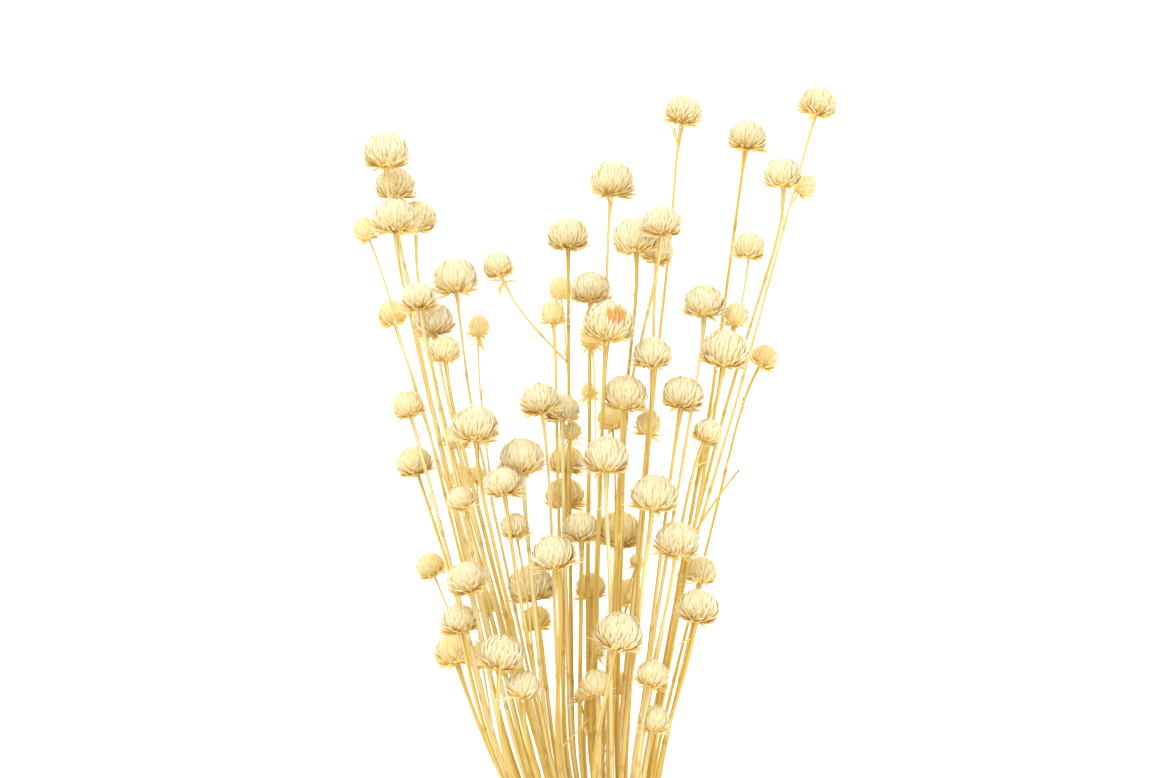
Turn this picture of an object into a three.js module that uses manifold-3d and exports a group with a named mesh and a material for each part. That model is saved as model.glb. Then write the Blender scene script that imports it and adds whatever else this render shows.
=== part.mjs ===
// A tied bunch of dried, bleached globe amaranth, lying on its side on a flat surface.
// Each stem carries a round head of papery keeled bracts, and some fork into thinner shoots with smaller
// heads. Lengths are in millimetres. +Y runs along the bunch from the cut ends to the blooms and +Z is up.
// The origin is on the surface, under the middle of the bunch's box.
import * as THREE from "three";
import { mergeVertices } from "three/addons/utils/BufferGeometryUtils.js";
import Module from "manifold-3d";

const wasm = await Module();
wasm.setup();

// Stems and shoots
const STEM_SIDES = 6;
const STEM_RADIUS = 1.36;
const STEM_TAPER = 0.76;
const SHOOT_RADIUS = 0.8;
const NECK_WIDENING = 1.45;
const NECK_LENGTH = 13;
const CUT_LENGTH = 74;
const CUT_UNEVENNESS = 9;
const CUT_SPLAY = 1.28;
const BOW = 0.3;
const SHOOT_BOW = 1.5;
const HOLLOW = 1.35;
const CLEARANCE = 0.3;

// Heights along a stem, from the tie, at which it may bend
const FIRST_BEND = 45;
const BEND_SPACING = 92;
const BEND_COUNT = 5;

// The stems fan out evenly between these two places to the side, at the second bend
const FAN_HEIGHT = FIRST_BEND + BEND_SPACING;
const FAN_LEFT = -66;
const FAN_RIGHT = 27;
const FAN_SHARE = 0.95;

// The tie: turns of twine round the stems
const TURNS = 4;
const TWINE = 2.8;
const TWINE_GROOVE = 0.7;
const TIE_HALF_WIDTH = (TURNS * TWINE) / 2;
const STRAIGHT_HALF = TIE_HALF_WIDTH + 3;
const KNOT_SIZE = 3.4;
const KNOT_TAIL = 9;

// Heads: proportions of a full head and of a bud to its own width
const FULL_HEAD = { around: 8, tiers: 4, height: 0.82, leaves: [0, 3] };
const SMALL_HEAD = { around: 7, tiers: 3, height: 0.88, leaves: [1] };
const BUD = { around: 6, tiers: 3, height: 1.0, leaves: [] };
const FULL_WIDTH = 17;
const BUD_WIDTH = 13.5;
const BRACT_REACH = 0.14;
const BRACT_OVERHANG = 0.82;
const LEAF_REACH = 1.34;
const BASE_POLAR = 28;
const CROWN_POLAR = 154;
const LEAF_POLAR = 50;

// How high the bunch stands above the surface, as a wedge that opens from the tie
const TOP_AT_TIE = 18;
const TOP_RISE = 0.34;
const TOP_MOST = 92;

const STEM_COLOUR = "#ecd694";
const TWINE_COLOUR = "#c9a970";

// A bloom stands so far to the side of the tie and so far along the bunch from it. lift runs from 0, lying on
// the surface, to 1, on top of the bunch, and lean is how far it tips to the right, in degrees. A stem may be
// told which places it passes on its way down, as [side, along].
const bloom = (side, along, width, lift, lean = 0) => ({ side, along, width, lift, lean });
const shoot = (from, head) => ({ from, head });
const past = (...places) => ({ places });
const stem = (head, ...parts) => ({
  head,
  shoots: parts.filter((part) => part.head),
  past: parts.flatMap((part) => part.places ?? []),
});

const PLAN = [
  stem(bloom(-118, 452, 23, 0.62, 2), past([-109, 405], [-105, 384])),
  stem(bloom(-114, 435, 20, 0.3, 0), past([-104, 384], [-97, 330])),
  stem(bloom(-114, 417, 22, 0.68, -4), past([-112, 385], [-100, 343], [-94, 316]),
    shoot(268, bloom(-130, 411, 12.5, 0.35, -27))),
  stem(bloom(-102, 418, 19, 0.24, 8), past([-105, 384], [-98, 340])),
  stem(bloom(-82, 386, 22.5, 0.62, -6), past([-80, 357], [-75, 321]),
    shoot(262, bloom(-70, 360, 11, 0.2, 8))),
  stem(bloom(-23, 408, 20.5, 0.55, 0), past([-22, 330]), shoot(340, bloom(-60, 392, 15, 0.62, -12)),
    shoot(322, bloom(-27, 380, 12, 0.22, -6))),
  stem(bloom(-11, 380, 20, 0.6, 2), shoot(294, bloom(-12, 326, 7.5, 0.1, -5))),
  stem(bloom(-31, 367, 12.5, 0.55, -6)),
  stem(bloom(-101, 375, 17, 0.86, -8)),
  stem(bloom(-116, 367, 14.7, 0.1, -14), past([-108, 347], [-101, 324])),
  stem(bloom(-93, 363, 20.5, 0.72, -6)),
  stem(bloom(38, 473, 18.3, 0.5, 13), past([24, 354], [20, 330])),
  stem(bloom(109, 478, 18.3, 0.3, 17), past([85, 402], [74, 365], [68, 335], [61, 305], [44, 258]),
    shoot(412, bloom(102, 434, 11.5, 0.2, 48))),
  stem(bloom(71, 460, 19, 0.45, 8), past([65.6, 408], [61.6, 375]), shoot(306, bloom(72, 402, 15.7, 0.62, 3)),
    shoot(268, bloom(65, 366, 12.6, 0.6, 14))),
  stem(bloom(89, 440, 19, 0.7, -6), past([81, 397], [72, 365], [64, 335], [57, 305], [42, 258])),
  stem(bloom(0, 437, 22.5, 0.5, 5)),
  stem(bloom(26, 414, 19.4, 0.9, 2), past([16, 375], [8.5, 340])),
  stem(bloom(12, 407, 23, 0.58, -5), past([12, 375], [7, 340])),
  stem(bloom(24, 400, 16, 0.45, 6), past([24, 360], [21, 325])),
  stem(bloom(48, 373, 20, 0.72, 0)),
  stem(bloom(-2, 362, 25.5, 0.9, 5), shoot(266, bloom(-11, 354, 11.5, 0.4, -10))),
  stem(bloom(-107, 319, 15.7, 0.55, -16), past([-97, 295], [-93, 270])),
  stem(bloom(-87, 348, 15.2, 0.78, -2), shoot(205, bloom(-71, 282, 8.5, 0.4, 6))),
  stem(bloom(-71, 309, 23, 0.98, 0)),
  stem(bloom(-82, 302, 13.6, 0.42, -12), shoot(212, bloom(-80, 281, 10.5, 0.1, -8))),
  stem(bloom(-104, 289, 18.3, 0.4, -18), past([-95, 263], [-87, 240]),
    shoot(178, bloom(-96, 234, 14.7, 0.1, -24))),
  stem(bloom(-38, 322, 19, 0.78, -12)),
  stem(bloom(-26, 317, 17, 0.5, 0), shoot(222, bloom(-21, 305, 9.4, 0.44, 14))),
  stem(bloom(-47, 292, 22.5, 0.8, -3)),
  stem(bloom(-57, 279, 18, 0.95, -8), shoot(168, bloom(-51, 256, 14.1, 0.85, -14))),
  stem(bloom(-24, 290, 17.3, 0.22, 3)),
  stem(bloom(-25, 272, 19.4, 0.06, 0)),
  stem(bloom(-79, 270, 13.5, 0.8, -20)),
  stem(bloom(-31, 242, 21.5, 0.95, -14)),
  stem(bloom(-76, 229, 20, 0.85, -18), shoot(178, bloom(-66, 215, 9, 0.12, -8))),
  stem(bloom(-16, 255, 18.3, 0.6, 0)),
  stem(bloom(-3, 293, 22.5, 0.9, 2)),
  stem(bloom(21, 346, 19, 0.85, 0), shoot(212, bloom(19, 309, 13.1, 0.7, 8))),
  stem(bloom(59, 348, 24, 0.8, 9)),
  stem(bloom(81, 344, 14.1, 0.1, 36), past([74.4, 332], [66, 313], [53, 264], [42, 203], [31, 147])),
  stem(bloom(7, 325, 22, 0.82, 6), shoot(212, bloom(0, 312, 14.7, 0.2, -6)),
    shoot(138, bloom(9, 220, 13.1, 0.02, 8))),
  stem(bloom(37, 325, 21, 0.78, 10), past([31, 295], [29.5, 280])),
  stem(bloom(50, 305, 14.7, 0.85, 26), past([44, 290], [37, 258])),
  stem(bloom(22, 273, 23, 0.98, 8), past([19.5, 248], [18, 217])),
  stem(bloom(34, 249, 22, 0.95, 6), past([29, 230], [25, 216])),
  stem(bloom(47, 232, 16.2, 0.4, 6)),
  stem(bloom(4, 253, 23, 0.1, 4), shoot(200, bloom(13, 237, 6.3, 0.3, 4))),
  stem(bloom(-80, 207, 18.3, 0.7, -10), shoot(126, bloom(-69, 187, 11.5, 0.1, -8))),
  stem(bloom(-84, 189, 19.4, 0.02, -16)),
  stem(bloom(-57, 190, 22, 0.98, 10)),
  stem(bloom(-46, 173, 16.2, 0.99, 8)),
  stem(bloom(-43, 225, 23, 0.5, -14), shoot(160, bloom(-40, 206, 14.7, 0.05, -6))),
  stem(bloom(-11, 223, 15.2, 0.12, -4), shoot(152, bloom(-8, 190, 8.5, 0.3, 6))),
  stem(bloom(4, 201, 23.6, 0.97, 12)),
  stem(bloom(45, 214, 21, 0.8, 9)),
  stem(bloom(21, 179, 16.2, 0.95, 15)),
  stem(bloom(22, 155, 15.7, 0.99, 12)),
  stem(bloom(-8, 173, 15.7, 0.62, -4), shoot(116, bloom(1, 172, 14.7, 0.05, 10)),
    shoot(122, bloom(-17, 166, 5, 0.5, -8))),
];

// A small seeded generator, so that every draw is the same each time.
function makeDraw(seed) {
  let state = seed;
  return (low, high) => {
    state = (state + 0x6d2b79f5) | 0;
    let t = Math.imul(state ^ (state >>> 15), 1 | state);
    t = (t + Math.imul(t ^ (t >>> 7), 61 | t)) ^ t;
    return low + ((high - low) * ((t ^ (t >>> 14)) >>> 0)) / 4294967296;
  };
}
const draw = makeDraw(2004);

const clamp = (value, low, high) => Math.min(high, Math.max(low, value));
const mix = (a, b, t) => a + (b - a) * t;
const radians = THREE.MathUtils.degToRad;

// How the parts of a head are set out for its width
function headForm(width) {
  const form = width >= FULL_WIDTH ? FULL_HEAD : width >= BUD_WIDTH ? SMALL_HEAD : BUD;
  return { ...form, reach: width / 2, half: (width * form.height) / 2 };
}

const topOf = (along) => Math.min(TOP_MOST, TOP_AT_TIE + TOP_RISE * along);

// The slots of a close hexagonal packing, nearest the middle first, gathered into rows from the lowest up.
function packedSlots(count) {
  const pitch = 2 * STEM_RADIUS * Math.cos(Math.PI / STEM_SIDES) + CLEARANCE;
  const rowPitch = pitch * Math.sin(Math.PI / 3);
  const reach = Math.ceil(Math.sqrt(count));
  const slots = [];
  for (let row = -reach; row <= reach; row += 1) {
    for (let column = -reach; column <= reach; column += 1) {
      const x = (column + (Math.abs(row) % 2) / 2) * pitch;
      slots.push({ row, x, z: row * rowPitch, away: Math.hypot(x * 0.97, row * rowPitch) });
    }
  }
  slots.sort((a, b) => a.away - b.away);
  return slots.slice(0, count).sort((a, b) => a.row - b.row || a.x - b.x);
}

// Gives every stem a slot in the tie: the lowest rows go to the stems that lie lowest, each from left to right.
function seatStems(stems) {
  const slots = packedSlots(stems.length);
  const order = [...stems].sort((a, b) => a.rise - b.rise);
  let taken = 0;
  for (const row of new Set(slots.map((slot) => slot.row))) {
    const seats = slots.filter((slot) => slot.row === row);
    const sitters = order.slice(taken, taken + seats.length).sort((a, b) => a.slant - b.slant);
    sitters.forEach((one, i) => {
      one.slot = seats[i];
    });
    taken += seats.length;
  }
  return slots;
}

// Outer outline of points in the X-Z plane, anticlockwise (Andrew's monotone chain).
function hullOf(points) {
  const sorted = [...points].sort((a, b) => a.x - b.x || a.z - b.z);
  const turn = (o, a, b) => (a.x - o.x) * (b.z - o.z) - (a.z - o.z) * (b.x - o.x);
  const chain = (list) => {
    const kept = [];
    for (const p of list) {
      while (kept.length > 1 && turn(kept.at(-2), kept.at(-1), p) <= 1e-6) kept.pop();
      kept.push(p);
    }
    return kept.slice(0, -1);
  };
  return [...chain(sorted), ...chain(sorted.reverse())];
}

// A convex outline moved outwards by a distance, with its corners kept.
function grown(outline, distance) {
  const count = outline.length;
  return outline.map((p, i) => {
    const before = outline[(i + count - 1) % count];
    const after = outline[(i + 1) % count];
    const a = new THREE.Vector2(p.z - before.z, before.x - p.x).normalize();
    const b = new THREE.Vector2(after.z - p.z, p.x - after.x).normalize();
    const middle = a.clone().add(b);
    middle.multiplyScalar((2 * distance) / middle.lengthSq());
    return { x: p.x + middle.x, z: p.z + middle.y };
  });
}

const hexagon = (x, z, radius) =>
  Array.from({ length: STEM_SIDES }, (_, i) => {
    const angle = ((i + 0.5) * 2 * Math.PI) / STEM_SIDES;
    return { x: x + radius * Math.cos(angle), z: z + radius * Math.sin(angle) };
  });

// A strand is a stem or a shoot: the knots where it bends, each with the share w in which it may move aside,
// and the head at its end, which moves with the last two knots.
function makeStrand(head, radius, leanFrom) {
  const form = headForm(head.width);
  const lean = radians(head.lean);
  const axis = new THREE.Vector3(Math.sin(lean), Math.cos(lean), leanFrom * 0.3 - 0.04).normalize();
  const sink = form.half * 0.86;
  const scale = clamp(head.width / FULL_WIDTH, 0.6, 1);
  const neck = Math.min(NECK_LENGTH * scale, NECK_LENGTH);
  const z = mix(form.reach, Math.max(form.reach, topOf(head.along)), head.lift);
  const at = (back, r) => ({
    y: head.along - axis.y * back,
    x: head.side - axis.x * back,
    z: z - axis.z * back,
    r,
    w: 1,
    tip: true,
  });
  const wide = radius * (1 + (NECK_WIDENING - 1) * scale);
  const bow = radius === STEM_RADIUS ? BOW : SHOOT_BOW;
  return {
    radius,
    form,
    axis,
    centre: { x: head.side, y: head.along, z },
    ends: [at(sink + neck, radius * (radius === STEM_RADIUS ? 0.84 : 0.94)), at(form.half * 0.58, wide)],
    bow: { x: draw(-1, 1) * bow, z: draw(-1, 1) * bow },
  };
}

// Where a strand is at a height along the bunch, and the two knots on either side of it
function placeOn(strand, y) {
  const { knots } = strand;
  let i = 1;
  while (i < knots.length - 1 && knots[i].y < y) i += 1;
  const a = knots[i - 1];
  const b = knots[i];
  const t = clamp((y - a.y) / (b.y - a.y), 0, 1);
  return { a, b, t, x: mix(a.x, b.x, t), z: mix(a.z, b.z, t), r: mix(a.r, b.r, t) };
}

// Where each stem is to pass to the side at any height: its head's neck, the places that the plan names, its
// share of the even fan, and its slot in the tie.
function setCourses(stems) {
  const ends = (one) => [[one.slot.x, STRAIGHT_HALF], [one.ends[0].x, one.ends[0].y]];
  const straight = (one, y) => sideAt([...ends(one), ...one.plan.past], y);
  const order = stems.filter((one) => one.ends[0].y > FAN_HEIGHT + 8)
    .sort((a, b) => straight(a, FAN_HEIGHT) - straight(b, FAN_HEIGHT));
  order.forEach((one, i) => {
    const even = mix(FAN_LEFT, FAN_RIGHT, i / (order.length - 1));
    one.fan = [mix(straight(one, FAN_HEIGHT), even, FAN_SHARE), FAN_HEIGHT];
  });
  for (const one of stems) {
    const named = one.plan.past.filter(([, y]) => y > FAN_HEIGHT + 20);
    const marks = [...ends(one), ...named, ...(one.fan ? [one.fan] : [])];
    one.course = (y) => sideAt(marks, y);
  }
}

// The side at a height, between marks of [side, height]
function sideAt(marks, y) {
  const sorted = [...marks].sort((a, b) => a[1] - b[1]);
  let i = 1;
  while (i < sorted.length - 1 && sorted[i][1] < y) i += 1;
  const [ax, ay] = sorted[i - 1];
  const [bx, by] = sorted[i];
  return mix(ax, bx, clamp((y - ay) / (by - ay), 0, 1));
}

// Notes how each free knot stands off the line between its neighbours, to be kept while the strands settle.
function keepBows(strand) {
  const { knots, bow } = strand;
  for (let i = 1; i < knots.length - 2; i += 1) {
    const k = knots[i];
    const a = knots[i - 1];
    const b = knots[i + 1];
    const t = (k.y - a.y) / (b.y - a.y);
    k.bow = { x: k.x - mix(a.x, b.x, t) + bow.x, z: k.z - mix(a.z, b.z, t) + bow.z };
  }
}

function layOutStems() {
  const stems = PLAN.map((plan) => {
    const { head } = plan;
    const z = head.lift * topOf(head.along);
    const made = makeStrand(head, STEM_RADIUS, (z - TOP_AT_TIE) / head.along);
    return { ...made, plan, slant: head.side / head.along, rise: (z - TOP_AT_TIE) / head.along, shoots: [] };
  });
  const slots = seatStems(stems);
  const outline = hullOf(slots.flatMap((slot) => hexagon(slot.x, slot.z, STEM_RADIUS)));
  const outside = grown(outline, CLEARANCE + TWINE);
  const tieHeight = -Math.min(...outside.map((p) => p.z));
  setCourses(stems);
  for (const one of stems) {
    const { x, z } = one.slot;
    const cut = CUT_LENGTH + draw(-1, 1) * CUT_UNEVENNESS;
    const still = { r: STEM_RADIUS, w: 0 };
    const knots = [
      { y: -cut, x: x * CUT_SPLAY, z: tieHeight + z * CUT_SPLAY, ...still },
      { y: -STRAIGHT_HALF, x, z: tieHeight + z, ...still },
      { y: STRAIGHT_HALF, x, z: tieHeight + z, ...still },
    ];
    const start = knots[2];
    const end = one.ends[0];
    for (let k = 0; k < BEND_COUNT; k += 1) {
      const y = FIRST_BEND + k * BEND_SPACING;
      if (y > end.y - BEND_SPACING * 0.3) break;
      const t = (y - start.y) / (end.y - start.y);
      const z = mix(start.z, end.z, t ** HOLLOW);
      knots.push({ y, x: one.course(y), z, r: STEM_RADIUS * mix(1, STEM_TAPER, t ** HOLLOW), w: 1 });
    }
    one.knots = [...knots, ...one.ends];
    keepBows(one);
  }
  for (const one of stems) {
    for (const { from, head } of one.plan.shoots) {
      const rise = (head.lift * topOf(head.along) - TOP_AT_TIE) / head.along;
      const made = makeStrand(head, SHOOT_RADIUS * clamp(head.width / 13, 0.75, 1), rise);
      const root = placeOn(one, from);
      const end = made.ends[0];
      const middle = { y: mix(from, end.y, 0.45), r: made.radius, w: 1 };
      middle.x = mix(root.x, end.x, 0.5);
      middle.z = mix(root.z, end.z, 0.5);
      const base = { y: from, x: root.x, z: root.z, r: made.radius * 0.9, w: 0, root: true };
      made.knots = end.y - from > 40 ? [base, middle, ...made.ends] : [base, ...made.ends];
      keepBows(made);
      made.parent = one;
      one.shoots.push(made);
    }
  }
  return { stems, outline, tieHeight };
}

const NORMALS = [0, 1, 2].map((i) => ({ x: Math.cos((i * Math.PI) / 3), z: Math.sin((i * Math.PI) / 3) }));
const INNER = Math.cos(Math.PI / STEM_SIDES);

// The least push that parts two hexagons of one orientation: how far they are apart, and along which normal
function hexApart(dx, dz) {
  let best = { apart: -1 };
  for (const n of NORMALS) {
    const along = dx * n.x + dz * n.z;
    const way = Math.sign(along);
    if (Math.abs(along) > best.apart) best = { apart: Math.abs(along), x: way * n.x, z: way * n.z };
  }
  return best;
}

// Moves a strand at a place on it, by moving the knots on either side in their shares.
function push(place, x, z, most) {
  const { a, b, t } = place;
  const share = a.w * (1 - t) ** 2 + b.w * t ** 2;
  if (share < 1e-3) return;
  for (const [knot, part] of [[a, 1 - t], [b, t]]) {
    const move = (knot.w * part) / share;
    knot.dx = (knot.dx ?? 0) + clamp(x * move, -most, most);
    knot.dz = (knot.dz ?? 0) + clamp(z * move, -most, most);
  }
}

// How wide a head is where a level plane cuts it, with room round it
function headCut(strand, y) {
  const { form, centre } = strand;
  const half = form.half * 1.1 + 1.2;
  const off = (y - centre.y) / half;
  return Math.abs(off) < 1 ? (form.reach * 1.02 + 0.9) * Math.sqrt(1 - off * off) : 0;
}

const SLICE = 3.5;
const ROUNDS = 460;
const STRAIGHTENED = 380;
const MOST_PUSH = 1.2;

// Lets the strands and heads settle clear of one another: in each round they straighten a little, and whatever
// is too close in any slice across the bunch is pushed apart. A head keeps its place and moves up or down.
function settle(stems) {
  const strands = stems.flatMap((one) => [one, ...one.shoots]);
  const last = Math.max(...strands.map((s) => s.centre.y + s.form.half));
  const keepClear = (p, q, room, level) => {
    const gap = level.hex ? hexApart(p.x - q.x, p.z - q.z) : null;
    const flat = Math.hypot(p.x - q.x, p.z - q.z);
    const apart = gap ? gap.apart : flat;
    if (apart >= room) return;
    const towards = gap ?? (flat > 1e-6 ? { x: (p.x - q.x) / flat, z: (p.z - q.z) / flat } : { x: 0, z: 1 });
    const half = (room - apart) * 0.5 * level.ease;
    push(p, towards.x * half, towards.z * half, MOST_PUSH);
    push(q, -towards.x * half, -towards.z * half, MOST_PUSH);
  };
  for (let round = 0; round < ROUNDS; round += 1) {
    const calm = Math.max(0, 1 - round / STRAIGHTENED);
    for (const s of strands) {
      if (s.parent) {
        const root = placeOn(s.parent, s.knots[0].y);
        Object.assign(s.knots[0], { x: root.x, z: root.z });
      }
      straighten(s, 0.16 * calm);
    }
    for (let y = STRAIGHT_HALF; y < last; y += SLICE) {
      const here = [];
      for (const s of strands) {
        const stop = s.knots.at(-1).y;
        if (y > s.knots[0].y && y < stop) here.push({ ...placeOn(s, y), s });
        const cut = headCut(s, y);
        if (cut > 0) {
          const grip = s.knots.at(-2);
          here.push({ a: grip, b: grip, t: 0, x: s.centre.x, z: s.centre.z, r: cut, s, head: true });
        }
      }
      for (let i = 0; i < here.length; i += 1) {
        for (let j = i + 1; j < here.length; j += 1) {
          const p = here[i];
          const q = here[j];
          const most = p.r + q.r + 1;
          if (Math.abs(p.x - q.x) > most || Math.abs(p.z - q.z) > most || p.s === q.s) continue;
          const kin = p.s.parent === q.s || q.s.parent === p.s;
          if (kin && y < Math.max(p.s.knots[0].y, q.s.knots[0].y) + 26) continue;
          const hex = !p.head && !q.head;
          const room = hex ? (p.r + q.r) * INNER + CLEARANCE + 0.04 : p.r + q.r + CLEARANCE;
          keepClear(p, q, room, { hex, ease: 0.55 });
        }
      }
      for (const p of here) {
        const under = p.head ? p.s.form.reach : p.r + 0.2;
        if (p.z < under) push(p, 0, under - p.z, MOST_PUSH);
      }
    }
    for (const s of strands) applyMoves(s);
  }
}

// Draws each free knot back to where it stood beside the line between its neighbours.
function straighten(strand, rate) {
  const { knots } = strand;
  for (let i = 1; i < knots.length - 2; i += 1) {
    const k = knots[i];
    if (!k.w) continue;
    const a = knots[i - 1];
    const b = knots[i + 1];
    const t = (k.y - a.y) / (b.y - a.y);
    k.x += (mix(a.x, b.x, t) + k.bow.x - k.x) * rate;
    k.z += (mix(a.z, b.z, t) + k.bow.z - k.z) * rate;
  }
}

// Makes the moves that a round has gathered. The head and the knots of its neck go up or down together.
function applyMoves(strand) {
  const tips = strand.knots.filter((k) => k.tip);
  const lift = tips.reduce((sum, k) => sum + (k.dz ?? 0), 0) * 0.5;
  const least = strand.form.reach + 0.02;
  const rise = Math.max(clamp(lift, -MOST_PUSH, MOST_PUSH), least - strand.centre.z);
  for (const k of strand.knots) {
    if (k.tip) {
      k.z += rise;
    } else if (k.w) {
      k.x += clamp(k.dx ?? 0, -MOST_PUSH, MOST_PUSH);
      k.z += clamp(k.dz ?? 0, -MOST_PUSH, MOST_PUSH);
    }
    k.dx = 0;
    k.dz = 0;
  }
  strand.centre.z += rise;
}

// A closed mesh from rings of points: neighbouring rings are joined, and each end is closed by a fan.
function skin(rings) {
  const count = rings[0].length;
  const points = rings.flat();
  const faces = [];
  for (let j = 0; j + 1 < rings.length; j += 1) {
    for (let i = 0; i < count; i += 1) {
      const a = j * count + i;
      const b = j * count + ((i + 1) % count);
      faces.push([a, b, a + count], [b, b + count, a + count]);
    }
  }
  const top = (rings.length - 1) * count;
  for (let i = 1; i + 1 < count; i += 1) {
    faces.push([0, i + 1, i], [top, top + i, top + i + 1]);
  }
  return { points, faces };
}

// A solid from points and faces, turned so that its faces point outwards.
function solidOf({ points, faces }) {
  let volume = 0;
  for (const [a, b, c] of faces) {
    const cross = new THREE.Vector3().crossVectors(points[b], points[c]);
    volume += points[a].dot(cross);
  }
  const turned = volume < 0 ? faces.map(([a, b, c]) => [a, c, b]) : faces;
  const geometry = new THREE.BufferGeometry().setFromPoints(points);
  geometry.setIndex(turned.flat());
  const merged = mergeVertices(geometry, 1e-5);
  const mesh = new wasm.Mesh({
    numProp: 3,
    vertProperties: merged.attributes.position.array,
    triVerts: new Uint32Array(merged.index.array),
  });
  return new wasm.Manifold(mesh);
}

const tube = (knots) =>
  solidOf(skin(knots.map((k) => hexagon(k.x, k.z, k.r).map((p) => new THREE.Vector3(p.x, k.y, p.z)))));

// A head: rings of hollows on a globe, each ring half a step round from the last, and in every diamond between
// four hollows the tip of a keeled bract, which stands out and hangs over the hollow above it. The underside is
// flat, and beside it a small dry leaf or two stand out below the bracts.
function headFaces({ around, tiers, reach, half, leaves }) {
  const points = [];
  const place = (polar, turn, out) => {
    const angle = (turn * 2 * Math.PI) / around;
    const r = reach * out * Math.sin(polar);
    points.push(new THREE.Vector3(r * Math.cos(angle), -half * out * Math.cos(polar), r * Math.sin(angle)));
    return points.length - 1;
  };
  const inner = 1 - BRACT_REACH;
  const polarOf = (j) => radians(mix(BASE_POLAR, CROWN_POLAR, j / tiers));
  const offset = (j) => (j % 2) / 2;
  const hollow = [];
  for (let j = 0; j <= tiers; j += 1) {
    hollow.push(Array.from({ length: around }, (_, i) => place(polarOf(j), i + offset(j), inner)));
  }
  const crown = place(Math.PI, 0, 1);
  const faces = [];
  for (let i = 1; i + 1 < around; i += 1) {
    faces.push([hollow[0][0], hollow[0][i + 1], hollow[0][i]]);
  }
  for (let j = 0; j <= tiers; j += 1) {
    for (let i = 0; i < around; i += 1) {
      const left = hollow[j][i];
      const right = hollow[j][(i + 1) % around];
      const middle = (i + (j % 2)) % around;
      const above = j < tiers ? hollow[j + 1][middle] : crown;
      const leafy = j === 0 && leaves.includes(i);
      const tipped = j > 0 && j < tiers;
      if (!leafy && !tipped) faces.push([left, right, above]);
      if (leafy || tipped) {
        const polar = leafy ? radians(LEAF_POLAR) : mix(polarOf(j), polarOf(j + 1), BRACT_OVERHANG);
        const tip = place(polar, i + offset(j) + 0.5, leafy ? LEAF_REACH : j === 1 ? 1.05 : 1);
        faces.push([left, tip, above], [tip, right, above]);
        if (leafy) faces.push([left, right, tip]);
        else faces.push([hollow[j - 1][middle], tip, left], [hollow[j - 1][middle], right, tip]);
      }
      if (j === tiers) faces.push([hollow[j - 1][middle], right, left]);
    }
  }
  return { points, faces };
}

// The head of a strand, set on its axis and turned round it by chance
function headSolid({ form, axis, centre }) {
  const upright = new THREE.Quaternion().setFromUnitVectors(new THREE.Vector3(0, 1, 0), axis);
  const spin = new THREE.Quaternion().setFromAxisAngle(new THREE.Vector3(0, 1, 0), draw(0, 2 * Math.PI));
  const at = new THREE.Vector3(centre.x, centre.y, centre.z);
  const frame = new THREE.Matrix4().compose(at, upright.multiply(spin), new THREE.Vector3(1, 1, 1));
  const { points, faces } = headFaces(form);
  return solidOf({ points: points.map((p) => p.applyMatrix4(frame)), faces });
}

function flowerStem(one) {
  const strands = [one, ...one.shoots];
  const solids = strands.flatMap((strand) => [tube(strand.knots), headSolid(strand)]);
  return solids.reduce((all, next) => all.add(next));
}

// The twine: an outline round the bundle, carried along a ridged profile of its turns, with a knot on top.
function tieSolid(outline, height) {
  const inside = grown(outline, CLEARANCE);
  const ring = (y, out) => grown(inside, out).map((p) => new THREE.Vector3(p.x, y, p.z + height));
  const profile = [[-TIE_HALF_WIDTH, 0]];
  for (let turn = 0; turn < TURNS; turn += 1) {
    const start = -TIE_HALF_WIDTH + turn * TWINE;
    profile.push([start, TWINE - TWINE_GROOVE], [start + TWINE * 0.3, TWINE], [start + TWINE * 0.7, TWINE]);
  }
  profile.push([TIE_HALF_WIDTH, TWINE - TWINE_GROOVE], [TIE_HALF_WIDTH, 0]);
  const rings = profile.map(([y, out]) => ring(y, out));
  const count = inside.length;
  const faces = [];
  for (let j = 0; j < rings.length; j += 1) {
    const next = ((j + 1) % rings.length) * count;
    for (let i = 0; i < count; i += 1) {
      const k = (i + 1) % count;
      faces.push([j * count + i, j * count + k, next + i], [j * count + k, next + k, next + i]);
    }
  }
  const band = solidOf({ points: rings.flat(), faces });
  const top = Math.max(...grown(inside, TWINE).map((p) => p.z)) + height;
  const lump = new THREE.IcosahedronGeometry(KNOT_SIZE, 1);
  lump.scale(0.8, 1, 0.62);
  lump.translate(0, 0, top + KNOT_SIZE * 0.3);
  const tail = (side) => {
    const place = (along, wide) => hexagon(0, 0, wide).map((p) => new THREE.Vector3(
      side * along, p.x - side * along * 0.35, top + KNOT_SIZE * 0.35 + p.z - along * 0.05));
    return solidOf(skin([place(0.5, TWINE * 0.45), place(KNOT_TAIL, TWINE * 0.55)]));
  };
  return band.add(solidOfGeometry(lump)).add(tail(1)).add(tail(-1));
}

function solidOfGeometry(geometry) {
  const bare = geometry.clone();
  bare.deleteAttribute("normal");
  bare.deleteAttribute("uv");
  const merged = mergeVertices(bare, 1e-4);
  const at = merged.attributes.position;
  const points = Array.from({ length: at.count }, (_, i) => new THREE.Vector3().fromBufferAttribute(at, i));
  const index = merged.index.array;
  const faces = Array.from({ length: index.length / 3 }, (_, i) => [...index.slice(3 * i, 3 * i + 3)]);
  return solidOf({ points, faces });
}

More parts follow.
